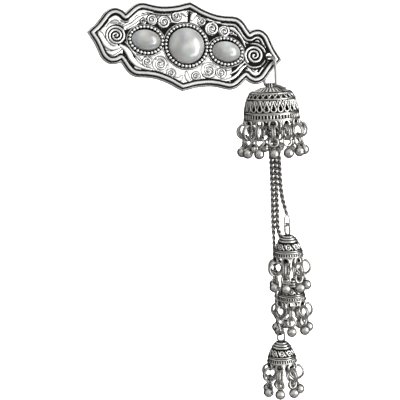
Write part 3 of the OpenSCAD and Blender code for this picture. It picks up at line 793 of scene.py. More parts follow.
def strap(path, w, t, corner=0.3):
    """Flat strip with rounded edges along a path in the plane of the plate's length and depth."""
    P = np.asarray(path, float)
    d = np.gradient(P, axis=0)
    d /= np.linalg.norm(d, axis=1)[:, None]
    nrm = np.stack([-d[:, 1], d[:, 0]], 1)
    sec = []
    for sx, sy, a0 in ((1, 1, 0), (-1, 1, 90), (-1, -1, 180), (1, -1, 270)):
        for a in (a0, a0 + 30, a0 + 60, a0 + 90):
            sec.append((sx * (w / 2 - corner) + corner * math.cos(math.radians(a)), sy * (t / 2 - corner) + corner * math.sin(math.radians(a))))
    sec = np.array(sec)
    k = len(sec)
    V = np.stack([P[:, None, 0] + nrm[:, None, 0] * sec[None, :, 1], np.broadcast_to(sec[None, :, 0], (len(P), k)), P[:, None, 1] + nrm[:, None, 1] * sec[None, :, 1]], -1).reshape(-1, 3)
    V = np.concatenate([V, [[P[0, 0], 0, P[0, 1]], [P[-1, 0], 0, P[-1, 1]]]])
    i = np.arange(k)
    n = len(P)
    T = np.concatenate([np.stack([i, (i + 1) % k, np.full(k, n * k)], 1), np.stack([(n - 1) * k + (i + 1) % k, (n - 1) * k + i, np.full(k, n * k + 1)], 1)])
    return V, grid_faces(n, k, wrap_m=True)[:, ::-1], T[:, ::-1]


def behind(V):
    """From the clip's own middle to the row frame."""
    return plate_to_row(np.asarray(V, float) - [0, 0, RIM])


clip_bag = Bag()
v_, q_, t_ = strap([(x, GAP / 2 + CT / 2) for x in np.linspace(-CE, CE, 41)], CW, CT)
clip_bag.add(v_, q_, t_, 0.1)
xs_ = np.linspace(-(CE - 3), CE - 3, 73)
bow_ = np.stack([xs_, GAP / 2 - GAP * (1 - (xs_ / (CE - 3)) ** 4) - CT / 2], 1)
ends_ = np.array([(-CE + 0.2, GAP / 2 - CT / 2), (-CE + 1.6, GAP / 2 - CT / 2)])
bow_ = np.concatenate([ends_, bow_[2:-2], (ends_ * [-1, 1])[::-1]])
v_, q_, t_ = strap(resample(catmull(bow_, 3), 0.45), CW - 0.02, CT)
clip_bag.add(v_, q_, t_, 0.1)
# a stiffening bead pressed along the bow's back
v_, q_, t_ = sweep([(x, 0, z - CT / 2 + 0.02) for x, z in bow_[10:-10]], np.concatenate([np.linspace(0.1, 0.42, 6), np.full(len(bow_) - 32, 0.42), np.linspace(0.42, 0.1, 6)]), 12, up_hint=(0, 1, 0))
clip_bag.add(v_, q_, t_, 0.2)
# hinge: rolled ends round a pin
for y0, y1, r_ in ((-2.7, -1.0, 0.95), (-0.85, 0.85, 0.95), (1.0, 2.7, 0.95), (-3.0, 3.0, 0.45)):
    pr_ = [(0.02, y1), (r_ - 0.12, y1), (r_, y1 - 0.12), (r_, y0 + 0.12), (r_ - 0.12, y0), (0.02, y0)]
    v_, q_ = lathe(pr_, 24)
    clip_bag.add(rot_x(v_, 90) + [-CE + 0.55, 0, GAP / 2 - CT / 2 + 0.15], q_[:, ::-1], None, 0.15)
# catch: two thumb tabs
for s_ in (-1, 1):
    v_, q_, t_ = strap([(CE - 2.9 + 0.35 * i, 3.3 - 0.02 * i * i) for i in range(9)], 0.7, 2.6, 0.25)
    clip_bag.add(v_ + [0, s_ * (CW / 2 + 0.15), 0.35], q_, t_, 0.1)
# rivets that hold the bar
for x_ in (-21.0, 21.0):
    v_, q_ = lathe([(0.02, -0.75), (0.5, -0.72), (0.95, -0.5), (1.2, -0.1), (1.25, 0.1), (0.02, 0.1)], 28)
    clip_bag.add(v_ + [x_, 0, GAP / 2], q_, None, np.repeat([0.0, 0.0, 0.1, 0.5, 0.9, 0.9], 28))
clip_bag.make("barrette_clip", "clip", STEEL, "clip_steel", "back_clip", behind, flat_angle=50)


# ---------------------------------------------------------------- bells
def arc(profile, step):
    """Points about step apart along a short profile table, rounded a little, with their normals."""
    P = resample(profile, step)
    K = P.copy()
    K[1:-1] = 0.25 * P[:-2] + 0.5 * P[1:-1] + 0.25 * P[2:]
    t = np.gradient(K, axis=0)
    t /= np.linalg.norm(t, axis=1)[:, None]
    n = np.stack([-t[:, 1], t[:, 0]], 1)
    return K, n


def segment(x, y, x0, y0, x1, y1):
    """Distance to one straight line."""
    dx, dy = x1 - x0, y1 - y0
    t = np.clip(((x - x0) * dx + (y - y0) * dy) / (dx * dx + dy * dy), 0, 1)
    return np.hypot(x - x0 - t * dx, y - y0 - t * dy)


def cell(a, count, first=0.0):
    """Angle as cells: offset from the middle of the nearest cell, in cells, and the cell's number."""
    x = (a - first) * count / 360.0
    k = np.round(x)
    return x - k, k


BIG = [(2.0, -12.9), (4.3, -13.0), (7.0, -14.15), (8.5, -14.55), (9.25, -15.6), (10.3, -17.7), (10.85, -19.8), (11.3, -21.8), (11.5, -23.9), (11.6, -25.85)]
BIG_IN = [(10.75, -25.85), (10.6, -23.9), (10.4, -21.8), (9.9, -19.8), (9.3, -17.9), (8.2, -16.1), (7.4, -15.4), (6.6, -15.1), (4.1, -14.0), (0.05, -14.0)]
WINDOWS, WIN_FIRST, WIN_Z, WIN_R, WIN_H = 24, 4.6, -21.2, 0.85, 2.3
EYES, EYE_FIRST, EYE_Z, EYE_R = 13, 2.0, -27.1, 11.3


def tear(x, y, r, h):
    """Signed distance outside a tear with its round end down."""
    f = math.asin(r / h)
    x = np.abs(x)
    line = x * math.cos(f) + (y - h) * math.sin(f)
    disc = np.hypot(x, y) - r
    return np.where(y * math.cos(f) - x * math.sin(f) > 0, line, disc)


def outward(V):
    """Returns the points unchanged; it turns no faces."""
    return V


NC = 384
P_, N_ = arc(BIG, 0.17)
NR = len(P_)
ang = np.arange(NC) * 360.0 / NC
A, R = np.meshgrid(ang, P_[:, 0])
Z = np.meshgrid(ang, P_[:, 1])[1]
D = np.zeros(A.shape)
O = np.full(A.shape, 0.12)
# collar: radial flutes and a rim
flu = (R > 2.6) & (R < 7.6) & (Z > -14.4)
c_, _ = cell(A, 26)
w_ = np.cos(2 * math.pi * c_)
fade = smooth01((R - 2.6) / 0.8) * smooth01((7.6 - R) / 0.5)
D += np.where(flu, 0.2 * w_ * fade, 0)
O = np.where(flu, np.clip(0.1 - 1.3 * w_, 0, 0.97) * fade + 0.12 * (1 - fade), O)
e_ = band(R, 7.9, 0.35) * (Z > -14.8)
D += 0.22 * e_
O = np.where(e_ > 0, 0.15, O)
# painted shadow: a dark band right under the collar's rim
O = np.where((Z < -14.45) & (Z > -14.85), 0.85, O)


def ridge(z, w, h, tone=0.02):
    global D, O
    f = band(Z, z, w)
    O = np.where((f == 0) & (np.abs(Z - z) < w + 0.14), np.maximum(O, 0.85), O)
    D = np.where(f > 0, np.maximum(D, h * f - 0.02), D)
    O = np.where(f > 0, tone + 0.85 * (1 - smooth01(f / 0.55)), O)


# lattice
k = (Z < -14.95) & (Z > -17.0)
c_, _ = cell(A, 24, 3.0)
t_ = (-14.95 - Z) / 2.05
wa = np.abs((c_ + 0.75 * t_ + 0.5) % 1.0 - 0.5)
wb = np.abs((c_ - 0.75 * t_ + 0.5) % 1.0 - 0.5)
wd = np.minimum(wa, wb) * 2.5
D = np.where(k, -0.22 + 0.42 * band(wd, 0, 0.3), D)
O = np.where(k, np.where(wd < 0.3, 0.8 * smooth01((wd - 0.17) / 0.12), 0.97), O)
ridge(-14.95, 0.2, 0.22)
ridge(-17.2, 0.26, 0.36)
O = np.where((Z < -17.4) & (Z > -17.75) & (D < 0.1), 0.9, O)
# teardrop windows with raised rims and crossing lines above them
k = (Z < -17.7) & (Z > -22.8)
c_, num = cell(A, WINDOWS, WIN_FIRST)
X = c_ * 2 * math.pi / WINDOWS * R
Y = Z - WIN_Z
F = tear(X, Y, WIN_R, WIN_H)
bg_d, bg_o = -0.18, 0.96
d_, o_ = np.full(A.shape, bg_d), np.full(A.shape, bg_o)
rim_f = band(F, 0.24, 0.27)
line = np.minimum(segment(np.abs(X), Y, 0.0, WIN_H, 0.62, WIN_H + 1.5), segment(np.abs(X), Y, 1.44, 1.5, 0.75, WIN_H + 1.3))
line_f = band(line, 0, 0.2)
low_f = band(np.hypot(np.abs(X) - 1.44, Y + 1.35), 0, 0.28)
for f_, h_ in ((rim_f, 0.2), (line_f, 0.1), (low_f * 0, 0.0)):
    kk = f_ > 0
    d_ = np.where(kk, np.maximum(d_, bg_d + (h_ - bg_d) * f_), d_)
    o_ = np.where(kk, np.minimum(o_, 0.02 + 0.85 * (1 - smooth01(f_ / 0.6))), o_)
D, O = np.where(k, d_, D), np.where(k, o_, O)
ridge(-22.98, 0.3, 0.3)
ridge(-23.42, 0.17, 0.22)
# slots
k = (Z < -23.55) & (Z > -25.15)
c_, _ = cell(A, 52, 1.5)
s_ = np.abs(c_) * 2 * math.pi / 52 * R
f_ = smooth01((s_ - 0.36) / 0.12)
D = np.where(k, -0.3 + 0.4 * f_, D)
O = np.where(k, 0.97 - 0.95 * f_, O)
ridge(-25.35, 0.3, 0.28)
ridge(-25.8, 0.2, 0.2, 0.1)

# window openings: snap points to the outline, then leave the faces inside out
FW = np.where((Z < -18.4) & (Z > -22.6), F, 9.0)
gz, ga = np.gradient(FW)
dz_, da_ = np.gradient(Z)[0], 2 * math.pi / NC * R
fx, fy = ga / da_, gz / np.where(np.abs(dz_) < 1e-3, -1e-3, dz_)
g2_ = np.maximum(fx ** 2 + fy ** 2, 0.3)
near_ = np.abs(FW) < 0.1
AX_ = A - np.degrees(np.where(near_, FW * fx / g2_ / R, 0))
Zs = Z - np.where(near_, FW * fy / g2_, 0)
Rs = np.interp(-Zs, -P_[:, 1], P_[:, 0])
Rs = np.where(near_, Rs, R)
FWs = np.where(near_, 0.0, FW)
NXr, NXz = N_[:, 0][:, None], N_[:, 1][:, None]
flip = -1 if N_[-1, 0] < 0 else 1
RO, ZO = Rs + flip * NXr * D, Zs + flip * NXz * D


def polar(r, a, z):
    a = np.radians(a)
    return np.stack([r * np.sin(a), -r * np.cos(a), z], -1)


VO = polar(RO, AX_, ZO).reshape(-1, 3)
hole_q = np.zeros((NR - 1, NC), bool)
nxt_c = (np.arange(NC) + 1) % NC
S4 = FWs[:-1] + FWs[1:] + FWs[:-1][:, nxt_c] + FWs[1:][:, nxt_c]
hole_q = S4 < -1e-9
# inside rows: the window rows one to one, a few elsewhere
zone = np.flatnonzero((Z[:, 0] < -18.3) & (Z[:, 0] > -22.7))
rows_in = sorted(set([0, 8, 16, 24, 32, zone[0] - 8] + list(zone) + [zone[-1] + 8, NR - 1]) & set(range(NR)))
bi = np.array(BIG_IN)[::-1]
zi = np.clip(Zs[rows_in], bi[-1, 1], -14.05)
Ri = np.interp(-zi, -bi[1:, 1], bi[1:, 0])
for k_, r_ in enumerate(rows_in):
    if P_[r_, 1] > -15.6:
        Ri[k_] = np.minimum(P_[r_, 0] * 0.82, Ri[k_])
        zi[k_] = np.interp(Ri[k_], bi[:, 0], bi[:, 1])
Ri[-1], zi[-1] = 10.8, -25.85
VI = polar(Ri, AX_[rows_in], zi).reshape(-1, 3)
big = Bag()
qo, qc = np.nonzero(~hole_q)
Q1 = np.stack([qo * NC + qc, (qo + 1) * NC + qc, (qo + 1) * NC + nxt_c[qc], qo * NC + nxt_c[qc]], 1)
base_i = NR * NC
hole_in = np.zeros((len(rows_in) - 1, NC), bool)
for k_ in range(len(rows_in) - 1):
    if rows_in[k_ + 1] == rows_in[k_] + 1:
        hole_in[k_] = hole_q[rows_in[k_]]
qi, qc = np.nonzero(~hole_in)
Q2 = np.stack([base_i + qi * NC + qc, base_i + qi * NC + nxt_c[qc], base_i + (qi + 1) * NC + nxt_c[qc], base_i + (qi + 1) * NC + qc], 1)
row_of = {r_: k_ for k_, r_ in enumerate(rows_in)}
walls = []
for i, j in zip(*np.nonzero(hole_q)):
    j1 = nxt_c[j]
    for di, dj, e in ((-1, 0, ((i, j), (i, j1))), (1, 0, ((i + 1, j1), (i + 1, j))), (0, -1, ((i + 1, j), (i, j))), (0, 1, ((i, j1), (i + 1, j1)))):
        if not hole_q[i + di, (j + dj) % NC]:
            (a0, b0), (a1, b1) = e
            walls.append([a0 * NC + b0, a1 * NC + b1, base_i + row_of[a1] * NC + b1, base_i + row_of[a0] * NC + b0])
r0, r1 = (NR - 1) * NC, base_i + (len(rows_in) - 1) * NC
jj = np.arange(NC)
Q3 = np.stack([r0 + jj, r1 + jj, r1 + nxt_c, r0 + nxt_c], 1)
AO = np.concatenate([np.clip(O, 0, 1).ravel(), np.full(len(VI), 0.8)])
cap_i = base_i + len(VI)
VA = np.concatenate([VO, VI, [[0, 0, -14.0]]])
T1 = np.stack([np.full(NC, cap_i), base_i + jj, base_i + nxt_c], 1)[:, ::-1]
big.add(VA, np.concatenate([Q1, Q2, Q3, np.array(walls)]), T1, np.concatenate([AO, [0.8]]))
# neck with its cross hole's boss, and the loop for the chains
nk = []
for z_, r_ in ((-12.95, 2.1), (-12.75, 2.25), (-12.5, 2.0), (-12.0, 1.9), (-11.6, 2.0), (-11.35, 2.15), (-11.1, 1.95), (-11.02, 1.2), (-11.0, 0.02)):
    nk.append((r_, z_))
v_, q_ = lathe(nk, 48)
big.add(v_, q_[:, ::-1], None, np.tile(np.where(np.arange(48) % 4 < 2, 0.9, 0.02), len(nk)))
v_, q_, _ = sweep(circle_path(2.2, 40, "xz", c=(0, 0, -16.3)), 0.45, 10, closed=True)
big.add(v_, q_, None, 0.3)


def eyelet(bag, a, r, z, ox=0.08):
    """Cast ring eyelet under a rim, its hole along the radius."""
    n = 28
    t = np.radians(np.arange(n) * 360.0 / n)
    sec = [(1.13, -0.3), (1.13, 0.3), (1.3, 0.46), (1.62, 0.5), (1.9, 0.36), (1.98, 0.0), (1.9, -0.36), (1.62, -0.5), (1.3, -0.46)]
    V = np.concatenate([np.stack([p * np.cos(t), np.full(n, w), p * np.sin(t)], 1) for p, w in sec])
    Q = grid_faces(len(sec), n, True, True)
    tone = np.concatenate([np.full(n, 0.92 if p < 1.2 else ox) for p, w in sec])
    bag.add(rot_z(V + np.array([0, -r, z]), a), Q, None, tone)


for i in range(EYES):
    eyelet(big, EYE_FIRST + i * 360 / EYES, EYE_R, EYE_Z)
# small beads between the eyelets
for i in range(EYES):
    a = EYE_FIRST + (i + 0.5) * 360 / EYES
    v_, q_, t_ = ball(0.45, 12, 8, (0, -11.2, -26.15))
    big.add(rot_z(v_, a), q_, t_, 0.1)
big.make("big_bell", "tassel", SILVER_TASSEL, "silver", "bell", tassel_to_row, flat_angle=70)

# hanger
h_, c_r = 3.1, 1.2
top_ = -0.3 - h_
path = [(0 - h_, 0, -11.6)] * 0
up_l = [(-h_, 0, z) for z in np.linspace(-12.2 + c_r, top_, 18)]
arc_t = [(-h_ * math.cos(t), 0, top_ + h_ * math.sin(t)) for t in np.linspace(0, math.pi, 25)[1:-1]]
dn_r = [(h_, 0, z) for z in np.linspace(top_, -12.2 + c_r, 18)]
cr = [(h_ - c_r + c_r * math.cos(t), 0, -12.2 + c_r - c_r * math.sin(t)) for t in np.linspace(0, math.pi / 2, 8)[1:]]
bar = [(x, 0, -12.2) for x in np.linspace(h_ - c_r, -(h_ - c_r), 14)[1:]]
cl = [(-(h_ - c_r) - c_r * math.sin(t), 0, -12.2 + c_r - c_r * math.cos(t)) for t in np.linspace(0, math.pi / 2, 8)[1:-1]]
loop_p = np.array(up_l + arc_t + dn_r + cr + bar + cl)
hg = Bag()
v_, q_, _ = sweep(loop_p, 0.62, 16, closed=True, up_hint=(0, 1, 0))
hg.add(v_, q_, None, 0.1)
v_, q_, t_ = sweep(np.array([(x, 0, -12.2 - 1.0 * float(smooth01(np.array((x - 3.8) / 4.4)))) for x in np.linspace(h_ - c_r, 8.2, 24)]), 0.62, 16, up_hint=(0, 1, 0))
hg.add(v_, q_, t_, 0.2)
hg.make("hanger_ring", "hanger", SILVER_LINK, "silver", "hanger", lambda V: tassel_to_row(rot_z(V, -40.35)))

# drops
BIG_LEAN, SMALL_LEAN = (5.0, 11.0), (4.0, 9.0)
YAW = 0.0
LOW = -3.56 - 2.95


def ring_shape(bag, lean, place):
    # a split ring: two turns of wire lie side by side
    for side in (-0.43, 0.43):
        v, q, _ = sweep(circle_path(2.95, 40, "yz", 90, 450, (side, 0, -3.56)), 0.5, 10, closed=True, up_hint=(1, 0, 0))
        n_ = (np.asarray(v)[:, 0] - side) * (-1 if side > 0 else 1)
        bag.add(place(rot_x(rot_z(v, YAW), -lean[0])), q, None, 0.06 + 0.75 * smooth01((n_ - 0.22) / 0.2))


def drop_shape(bag, lean, ball_at, place):
    def put(v):
        v = rot_x(rot_z(np.asarray(v), YAW) + np.array([0, 0, -LOW]), lean[0] - lean[1]) + np.array([0, 0, LOW])
        return place(rot_x(v, -lean[0]))
    v, q, _ = sweep(circle_path(1.75, 32, "xz", c=(0, 0, -7.4)), 0.52, 8, closed=True)
    bag.add(put(v), q, None, 0.15)
    # ball: collar and seam
    r = 2.2
    t0 = -7.4 - 1.75
    prof = [(0.02, t0 + 0.1), (0.55, t0 + 0.05), (0.72, t0 - 0.12), (0.6, t0 - 0.3)]
    for t in np.linspace(22, 84, 9):
        prof.append((r * math.sin(math.radians(t)), ball_at + r * math.cos(math.radians(t))))
    prof += [(r + 0.035, ball_at + 0.12), (r + 0.05, ball_at), (r + 0.035, ball_at - 0.12)]
    for t in np.linspace(96, 170, 10):
        prof.append((r * math.sin(math.radians(t)), ball_at + r * math.cos(math.radians(t))))
    prof += [(0.02, ball_at - r)]
    v, q = lathe(prof, 26)
    pr = np.array(prof)
    tone = np.where((pr[:, 1] > t0 - 0.5), 0.5, 0.05)
    tone = np.where(np.abs(pr[:, 1] - (t0 - 0.3)) < 0.15, 0.8, tone)
    # painted shade: each ball gets darker towards its bottom, as if lit from above
    tone = np.maximum(tone, 0.38 * smooth01((ball_at - 0.6 - pr[:, 1]) / 1.5))
    bag.add(put(v), q[:, ::-1], None, np.repeat(tone, 26))


rings_b = Bag()
for i in range(EYES):
    a = EYE_FIRST + i * 360 / EYES
    pl = lambda v, a=a: rot_z(v + np.array([0, -EYE_R, EYE_Z]), a)
    ring_shape(rings_b, BIG_LEAN, pl)
    b_ = Bag()
    drop_shape(b_, BIG_LEAN, -12.1, pl)
    b_.make(f"ball_drop_{i + 1:02d}", "tassel", SILVER_BALL, "silver", f"bell_drop_{i + 1:02d}", tassel_to_row)
rings_b.make("jump_rings_big", "tassel", SILVER_WIRE, "silver", "bell_jump_rings", tassel_to_row)

# small bells
CAPS = [(4.7, -4.7, -74.4, -13.2, 0, -50), (5.4, 6.9, -96.2, -3.7, 0, 0), (0.3, -1.5, -121.1, -10.8, 13, 0)]
CAP = [(0.05, 0.0), (1.8, 0.0), (2.8, -0.7), (3.4, -1.4), (4.4, -2.9), (5.05, -4.2), (5.5, -5.5), (5.95, -6.9), (6.3, -8.7)]
CAP_IN = [(5.5, -8.7), (5.15, -6.9), (4.7, -5.5), (4.2, -4.2), (3.5, -2.9), (2.2, -1.6), (0.05, -1.5)]
NC2 = 252
P2, N2 = arc(CAP, 0.17)
ang2 = np.arange(NC2) * 360.0 / NC2
A, R = np.meshgrid(ang2, P2[:, 0])
Z = np.meshgrid(ang2, P2[:, 1])[1]
D = np.zeros(A.shape)
O = np.where(Z > -0.1, 0.3, 0.9)
for z_, w_, h_, t_ in ((-0.35, 0.22, 0.24, 0.02), (-1.2, 0.24, 0.32, 0.0), (-2.15, 0.32, 0.36, 0.0), (-5.98, 0.2, 0.26, 0.0),
                       (-6.75, 0.26, 0.34, 0.0), (-8.4, 0.28, 0.3, 0.0)):
    ridge(z_, w_, h_, t_)
k = (Z < -2.75) & (Z > -5.7)
c_, num = cell(A, 9, 0.0)
X = c_ * 2 * math.pi / 9 * R
Y = Z + 4.25
ringd = np.abs(np.hypot(X, Y) - 0.95)
dot = np.hypot(X, Y)
wd = 2 * math.pi / 9 * R / 2
leaf = np.minimum(segment(X, Y, -wd, 1.0, -wd + 0.9, -0.1), segment(X, Y, wd, -1.0, wd - 0.9, 0.1))
f_ = np.maximum.reduce([band(ringd, 0, 0.3), band(dot, 0, 0.42), band(leaf, 0, 0.32)])
D = np.where(k, -0.15 + 0.33 * f_, D)
O = np.where(k, np.where(f_ > 0, 0.02 + 0.9 * (1 - smooth01(f_ / 0.6)), 0.96), O)
k = (Z < -7.1) & (Z > -8.05)
c_, _ = cell(A, 36, 2.0)
f_ = smooth01((np.abs(c_) - 0.22) / 0.12)
D = np.where(k, -0.12 + 0.16 * f_, D)
O = np.where(k, 0.9 - 0.8 * f_, O)
flip2 = -1 if N2[-1, 0] < 0 else 1
VO2 = polar(R + flip2 * N2[:, 0][:, None] * D, A, Z + flip2 * N2[:, 1][:, None] * D).reshape(-1, 3)
# inner wall at a third of the columns
NCi = NC2 // 3
pin = np.array(CAP_IN)
VIn = np.concatenate([polar(np.full(NCi, r_), np.arange(NCi) * 360.0 / NCi, np.full(NCi, z_)) for r_, z_ in pin])
NR2 = len(P2)
jj = np.arange(NC2)
for k_, (cx, cy, cz, first, lean_, turn_) in enumerate(CAPS, 1):
    at = np.array([cx, cy, cz])
    bag = Bag()
    rim_out = (NR2 - 1) * NC2
    bi_ = NR2 * NC2
    Qo = grid_faces(NR2, NC2, wrap_m=True)
    Qi = grid_faces(len(pin), NCi, wrap_m=True) + bi_
    # rim strip from the fine outer ring to the coarse inner ring
    T = []
    for j in range(NCi):
        i0 = bi_ + j
        i1 = bi_ + (j + 1) % NCi
        o = [rim_out + (3 * j + m_) % NC2 for m_ in range(4)]
        T += [[o[0], o[1], i0], [o[1], o[2], i0], [o[2], i1, i0], [o[2], o[3], i1]]
    tone = np.concatenate([np.clip(O, 0, 1).ravel(), np.full(len(VIn), 0.8)])
    bag.add(np.concatenate([VO2, VIn]) + at, np.concatenate([Qo, Qi]), T, tone)
    # eye on top
    w_, hgt, wire = 3.9, 5.8, 0.9
    r_ = (w_ - wire) / 2
    low_, high_ = -0.4 + wire / 2 + r_, -0.4 + hgt - wire / 2 - r_
    pth = [(r_ * math.cos(t), 0, high_ + r_ * math.sin(t)) for t in np.linspace(0, math.pi, 17)] + [(-r_, 0, z) for z in np.linspace(high_, low_, 8)[1:-1]]
    pth += [(-r_ * math.cos(t), 0, low_ - r_ * math.sin(t)) for t in np.linspace(0, math.pi, 13)] + [(r_, 0, z) for z in np.linspace(low_, high_, 8)[1:-1]]
    v_, q_, _ = sweep(np.array(pth), wire / 2, 10, closed=True, up_hint=(0, 1, 0))
    bag.add(rot_z(v_, turn_) + at, q_, None, 0.5)
    for i in range(7):
        b2 = Bag()
        eyelet(b2, first + i * 360 / 7, 5.8, -10.1)
        bag.add(np.concatenate(b2.V) + at, np.concatenate(b2.Q), None, np.concatenate(b2.A))
        v_, q_, t_ = ball(0.42, 10, 7, (0, -5.95, -9.0))
        bag.add(rot_z(v_, first + (i + 0.5) * 360 / 7) + at, q_, t_, 0.1)
    bag.make(f"small_bell_cap_{k_}", "tassel", SILVER_TASSEL, "silver", f"small_bell_{k_}", tassel_to_row, flat_angle=70)
    rb = Bag()
    for i in range(7):
        a = first + i * 360 / 7
        pl = lambda v, a=a, at=at: rot_z(v + np.array([0, -5.8, -10.1]), a) + at
        ring_shape(rb, SMALL_LEAN, pl)
        b_ = Bag()
        drop_shape(b_, SMALL_LEAN, -11.4, pl)
        b_.make(f"cap_ball_{k_}_{i + 1}", "tassel", SILVER_BALL, "silver", f"small_drop_{k_}_{i + 1}", tassel_to_row)
    rb.make(f"jump_rings_small_{k_}", "tassel", SILVER_WIRE, "silver", f"small_rings_{k_}", tassel_to_row)
    # oval link above the eye, edge on
    w_, hgt, wire = 3.4, 5.2, 0.8
    r_ = (w_ - wire) / 2
    low_, high_ = wire / 2 + r_, hgt - wire / 2 - r_
    pth = [(0, r_ * math.cos(t), high_ + r_ * math.sin(t)) for t in np.linspace(0, math.pi, 15)] + [(0, -r_, z) for z in np.linspace(high_, low_, 8)[1:-1]]
    pth += [(0, -r_ * math.cos(t), low_ - r_ * math.sin(t)) for t in np.linspace(0, math.pi, 15)] + [(0, r_, z) for z in np.linspace(low_, high_, 8)[1:-1]]
    v_, q_, _ = sweep(np.array(pth), wire / 2, 10, closed=True, up_hint=(1, 0, 0))
    v_ = rot_z(rot_y(v_ + np.array([0, 0, -0.8]), -lean_), turn_) + np.array([0, 0, 5.4 - 0.9 - 0.1]) + at
    lb = Bag()
    lb.add(v_, q_, None, 0.1)
    lb.make(f"oval_link_{k_}", "tassel", SILVER_WIRE, "silver", f"link_{k_}", tassel_to_row)

# rope chains: two rows of stacked links wound round each other
ROUTES = {
    "chain_short": [(1.75, 0, -19.1), (1.9, -0.2, -28), (2.2, -0.9, -36), (2.4, -1.6, -43), (2.5, -2.6, -50), (2.8, -3.5, -56), (3.5, -4.1, -60.5), (4.7, -4.7, -65.5)],
    "chain_middle": [(0, 0, -19.1), (0.3, 0.6, -28), (0.6, 1.3, -36), (0.8, 1.7, -43), (0.8, 1.9, -56), (0.75, 2.0, -66), (0.8, 2.3, -72.5), (2.2, 3.8, -77.5),
                     (4.0, 5.8, -82.6), (5.4, 6.9, -87.3)],
    "chain_long": [(-1.75, 0, -19.1), (-1.5, 0.2, -28), (-1.1, 0.5, -36), (-0.9, 0.8, -43), (-0.9, 1.0, -56), (-1.05, 1.1, -66), (-1.1, 1.5, -75), (-1.25, 1.5, -97),
                   (-1.2, 0.5, -101), (-1.1, -0.7, -105), (-1.0, -1.3, -109), (-0.85, -1.5, -112.1)]}
for name_, pts in ROUTES.items():
    C = resample(catmull(pts, 12), 0.1)
    s = np.concatenate([[0], np.cumsum(np.linalg.norm(np.diff(C, axis=0), axis=1))])
    T_ = np.gradient(C, axis=0)
    T_ /= np.linalg.norm(T_, axis=1)[:, None]
    X_ = np.cross([0.0, 1.0, 0.0], T_)
    X_ /= np.linalg.norm(X_, axis=1)[:, None]
    Y_ = np.cross(T_, X_)
    # full in the open, drawn in at both ends and where the long chain passes the small bells
    full = np.minimum(smooth01(s / 3.0), smooth01((s[-1] - s) / 4.0))
    full = np.minimum(full, smooth01((C[:, 2] + 76) / 4.0)) if name_ == "chain_long" else full
    gap_ = 0.35 + 0.13 * full
    bag = Bag()
    for side in (0, 1):
        turn = -2 * math.pi * s / 4.6 + side * math.pi
        link = 0.43 + 0.09 * full + 0.035 * np.cos(2 * math.pi * s / 0.8 + side * math.pi)
        row = C + gap_[:, None] * (np.cos(turn)[:, None] * X_ + np.sin(turn)[:, None] * Y_)
        v_, q_, t_ = sweep(row, link, 12, up_hint=(0, 1, 0))
        body = v_[:len(C) * 12].reshape(len(C), 12, 3)
        out_ = np.linalg.norm(body - C[:, None, :], axis=2) / (gap_ + link)[:, None]
        tone = 0.95 * (1 - smooth01((out_ - 0.34) / 0.34)) + 0.3 * (1 - smooth01((np.cos(2 * math.pi * s / 0.8 + side * math.pi)[:, None] + 0.9) / 0.8))
        bag.add(v_, q_, t_, np.concatenate([np.clip(tone, 0, 1).ravel(), [0.5, 0.5]]))
    bag.make("links_" + name_, "tassel", CHAIN, "chain", name_, tassel_to_row)

# ---------------------------------------------------------------- remaining CAD nodes
FINISH = {"back_clip": STEEL}
for n_, o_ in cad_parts.items():
    mt = FINISH.get(n_) or (CHAIN if n_.startswith("chain") else PEARL if n_.startswith("pearl") else SILVER_TASSEL)
    o_.data.materials.clear()
    o_.data.materials.append(mt)

# ---------------------------------------------------------------- stage and light
def stage_material(name, col):
    mt = bpy.data.materials.new(name)
    mt.use_nodes = True
    b = mt.node_tree.nodes["Principled BSDF"]
    b.inputs["Base Color"].default_value = col
    b.inputs["Roughness"].default_value = 0.9
    n1 = mt.node_tree.nodes.new("ShaderNodeTexNoise")
    n1.inputs["Scale"].default_value = 3.0
    bp = mt.node_tree.nodes.new("ShaderNodeBump")
    bp.inputs["Strength"].default_value = 0.02
    mt.node_tree.links.new(n1.outputs["Fac"], bp.inputs["Height"])
    mt.node_tree.links.new(bp.outputs["Normal"], b.inputs["Normal"])
    return mt


FLOOR_Z, WALL_Y, COVE = -0.42, 1.3, 0.5
prof = [(-2.2, FLOOR_Z)] + [(WALL_Y - COVE + COVE * math.sin(t), FLOOR_Z + COVE * (1 - math.cos(t))) for t in np.linspace(0, math.pi / 2, 25)] + [(WALL_Y, 2.2)]
SV_ = np.array([(x, y, z) for y, z in prof for x in np.linspace(-7.5, 7.5, 3)]) * 1000.0
me = bpy.data.meshes.new("studio_sweep")
me.from_pydata([tuple(v * MM) for v in SV_], [], [tuple(int(i) for i in f) for f in grid_faces(len(prof), 3)])
for p_ in me.polygons:
    p_.use_smooth = True
sweep_ob = bpy.data.objects.new("studio_sweep", me)
me.materials.append(stage_material("paper_sweep", (0.93, 0.93, 0.93, 1)))
bpy.context.scene.collection.objects.link(sweep_ob)


def area(name, loc, aim_at, size, size_y, power, col=(1, 1, 1)):
    ld = bpy.data.lights.new(name, "AREA")
    ld.shape = "RECTANGLE"
    ld.size, ld.size_y = size, size_y
    ld.energy = power
    ld.color = col
    ob = bpy.data.objects.new(name, ld)
    ob.location = loc
    ob.rotation_euler = (Vector(aim_at) - Vector(loc)).to_track_quat("-Z", "Y").to_euler()
    bpy.context.scene.collection.objects.link(ob)
    return ob


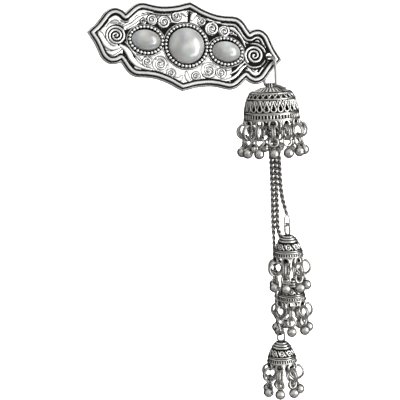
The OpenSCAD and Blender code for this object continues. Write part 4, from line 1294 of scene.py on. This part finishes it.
area("window_right", (0.95, -0.75, 0.15), (0, 0, -0.04), 0.48, 1.4, 9.5, (0.97, 1.0, 1.0))
area("front_card", (0.30, -1.0, 0.35), (0, 0, 0), 0.75, 0.5, 0.55)
area("table_card", (0.55, -0.7, -0.33), (0.03, 0, -0.08), 0.5, 0.25, 1.6)
area("top_soft", (-0.1, -0.5, 1.2), (0, 0, -0.05), 1.4, 0.9, 7).visible_glossy = False
area("sweep_light", (0, 0.55, 1.5), (0, 1.3, 0.0), 2.4, 0.5, 75).visible_glossy = False
area("back_card", (0.06, 0.5, 0.52), (0.03, 0, -0.05), 0.9, 0.5, 2.2).visible_camera = False   # the sheen on the bells' shoulders
sweep_ob.visible_glossy = False   # a dark room around the metal: its edges stay dark against the pale paper
world = bpy.data.worlds.new("studio")
bpy.context.scene.world = world
world.use_nodes = True
wn = world.node_tree
bg = wn.nodes["Background"]
tc = wn.nodes.new("ShaderNodeTexCoord")
sp = wn.nodes.new("ShaderNodeSeparateXYZ")
wn.links.new(tc.outputs["Generated"], sp.inputs[0])


def world_range(socket, f0, f1, t0, t1, smooth=True):
    n = wn.nodes.new("ShaderNodeMapRange")
    n.interpolation_type = "SMOOTHSTEP" if smooth else "LINEAR"
    for k_, v_ in (("From Min", f0), ("From Max", f1), ("To Min", t0), ("To Max", t1)):
        n.inputs[k_].default_value = v_
    wn.links.new(socket, n.inputs["Value"])
    return n.outputs["Result"]


def world_mul(a_, b_):
    n = wn.nodes.new("ShaderNodeMath")
    n.operation = "MULTIPLY"
    wn.links.new(a_, n.inputs[0])
    wn.links.new(b_, n.inputs[1])
    return n.outputs[0]


nz = wn.nodes.new("ShaderNodeTexNoise")
nz.inputs["Scale"].default_value = 2.3
nz.inputs["Detail"].default_value = 1.5
wn.links.new(tc.outputs["Generated"], nz.inputs["Vector"])
room = world_mul(world_range(sp.outputs["X"], -0.9, 0.8, 0.68, 0.94), world_range(sp.outputs["Y"], -0.45, 0.5, 1.12, 0.07))
room = world_mul(room, world_range(sp.outputs["Z"], -0.9, 0.5, 0.7, 1.1))
room = world_mul(room, world_range(nz.outputs["Fac"], 0.38, 0.62, 0.55, 1.3))
wn.links.new(room, bg.inputs["Color"])
bg.inputs["Strength"].default_value = 0.85
bpy.context.scene.view_settings.view_transform = "Standard"
bpy.context.scene.view_settings.look = "None"
bpy.context.scene.view_settings.exposure = 0.0

bpy.context.view_layer.update()
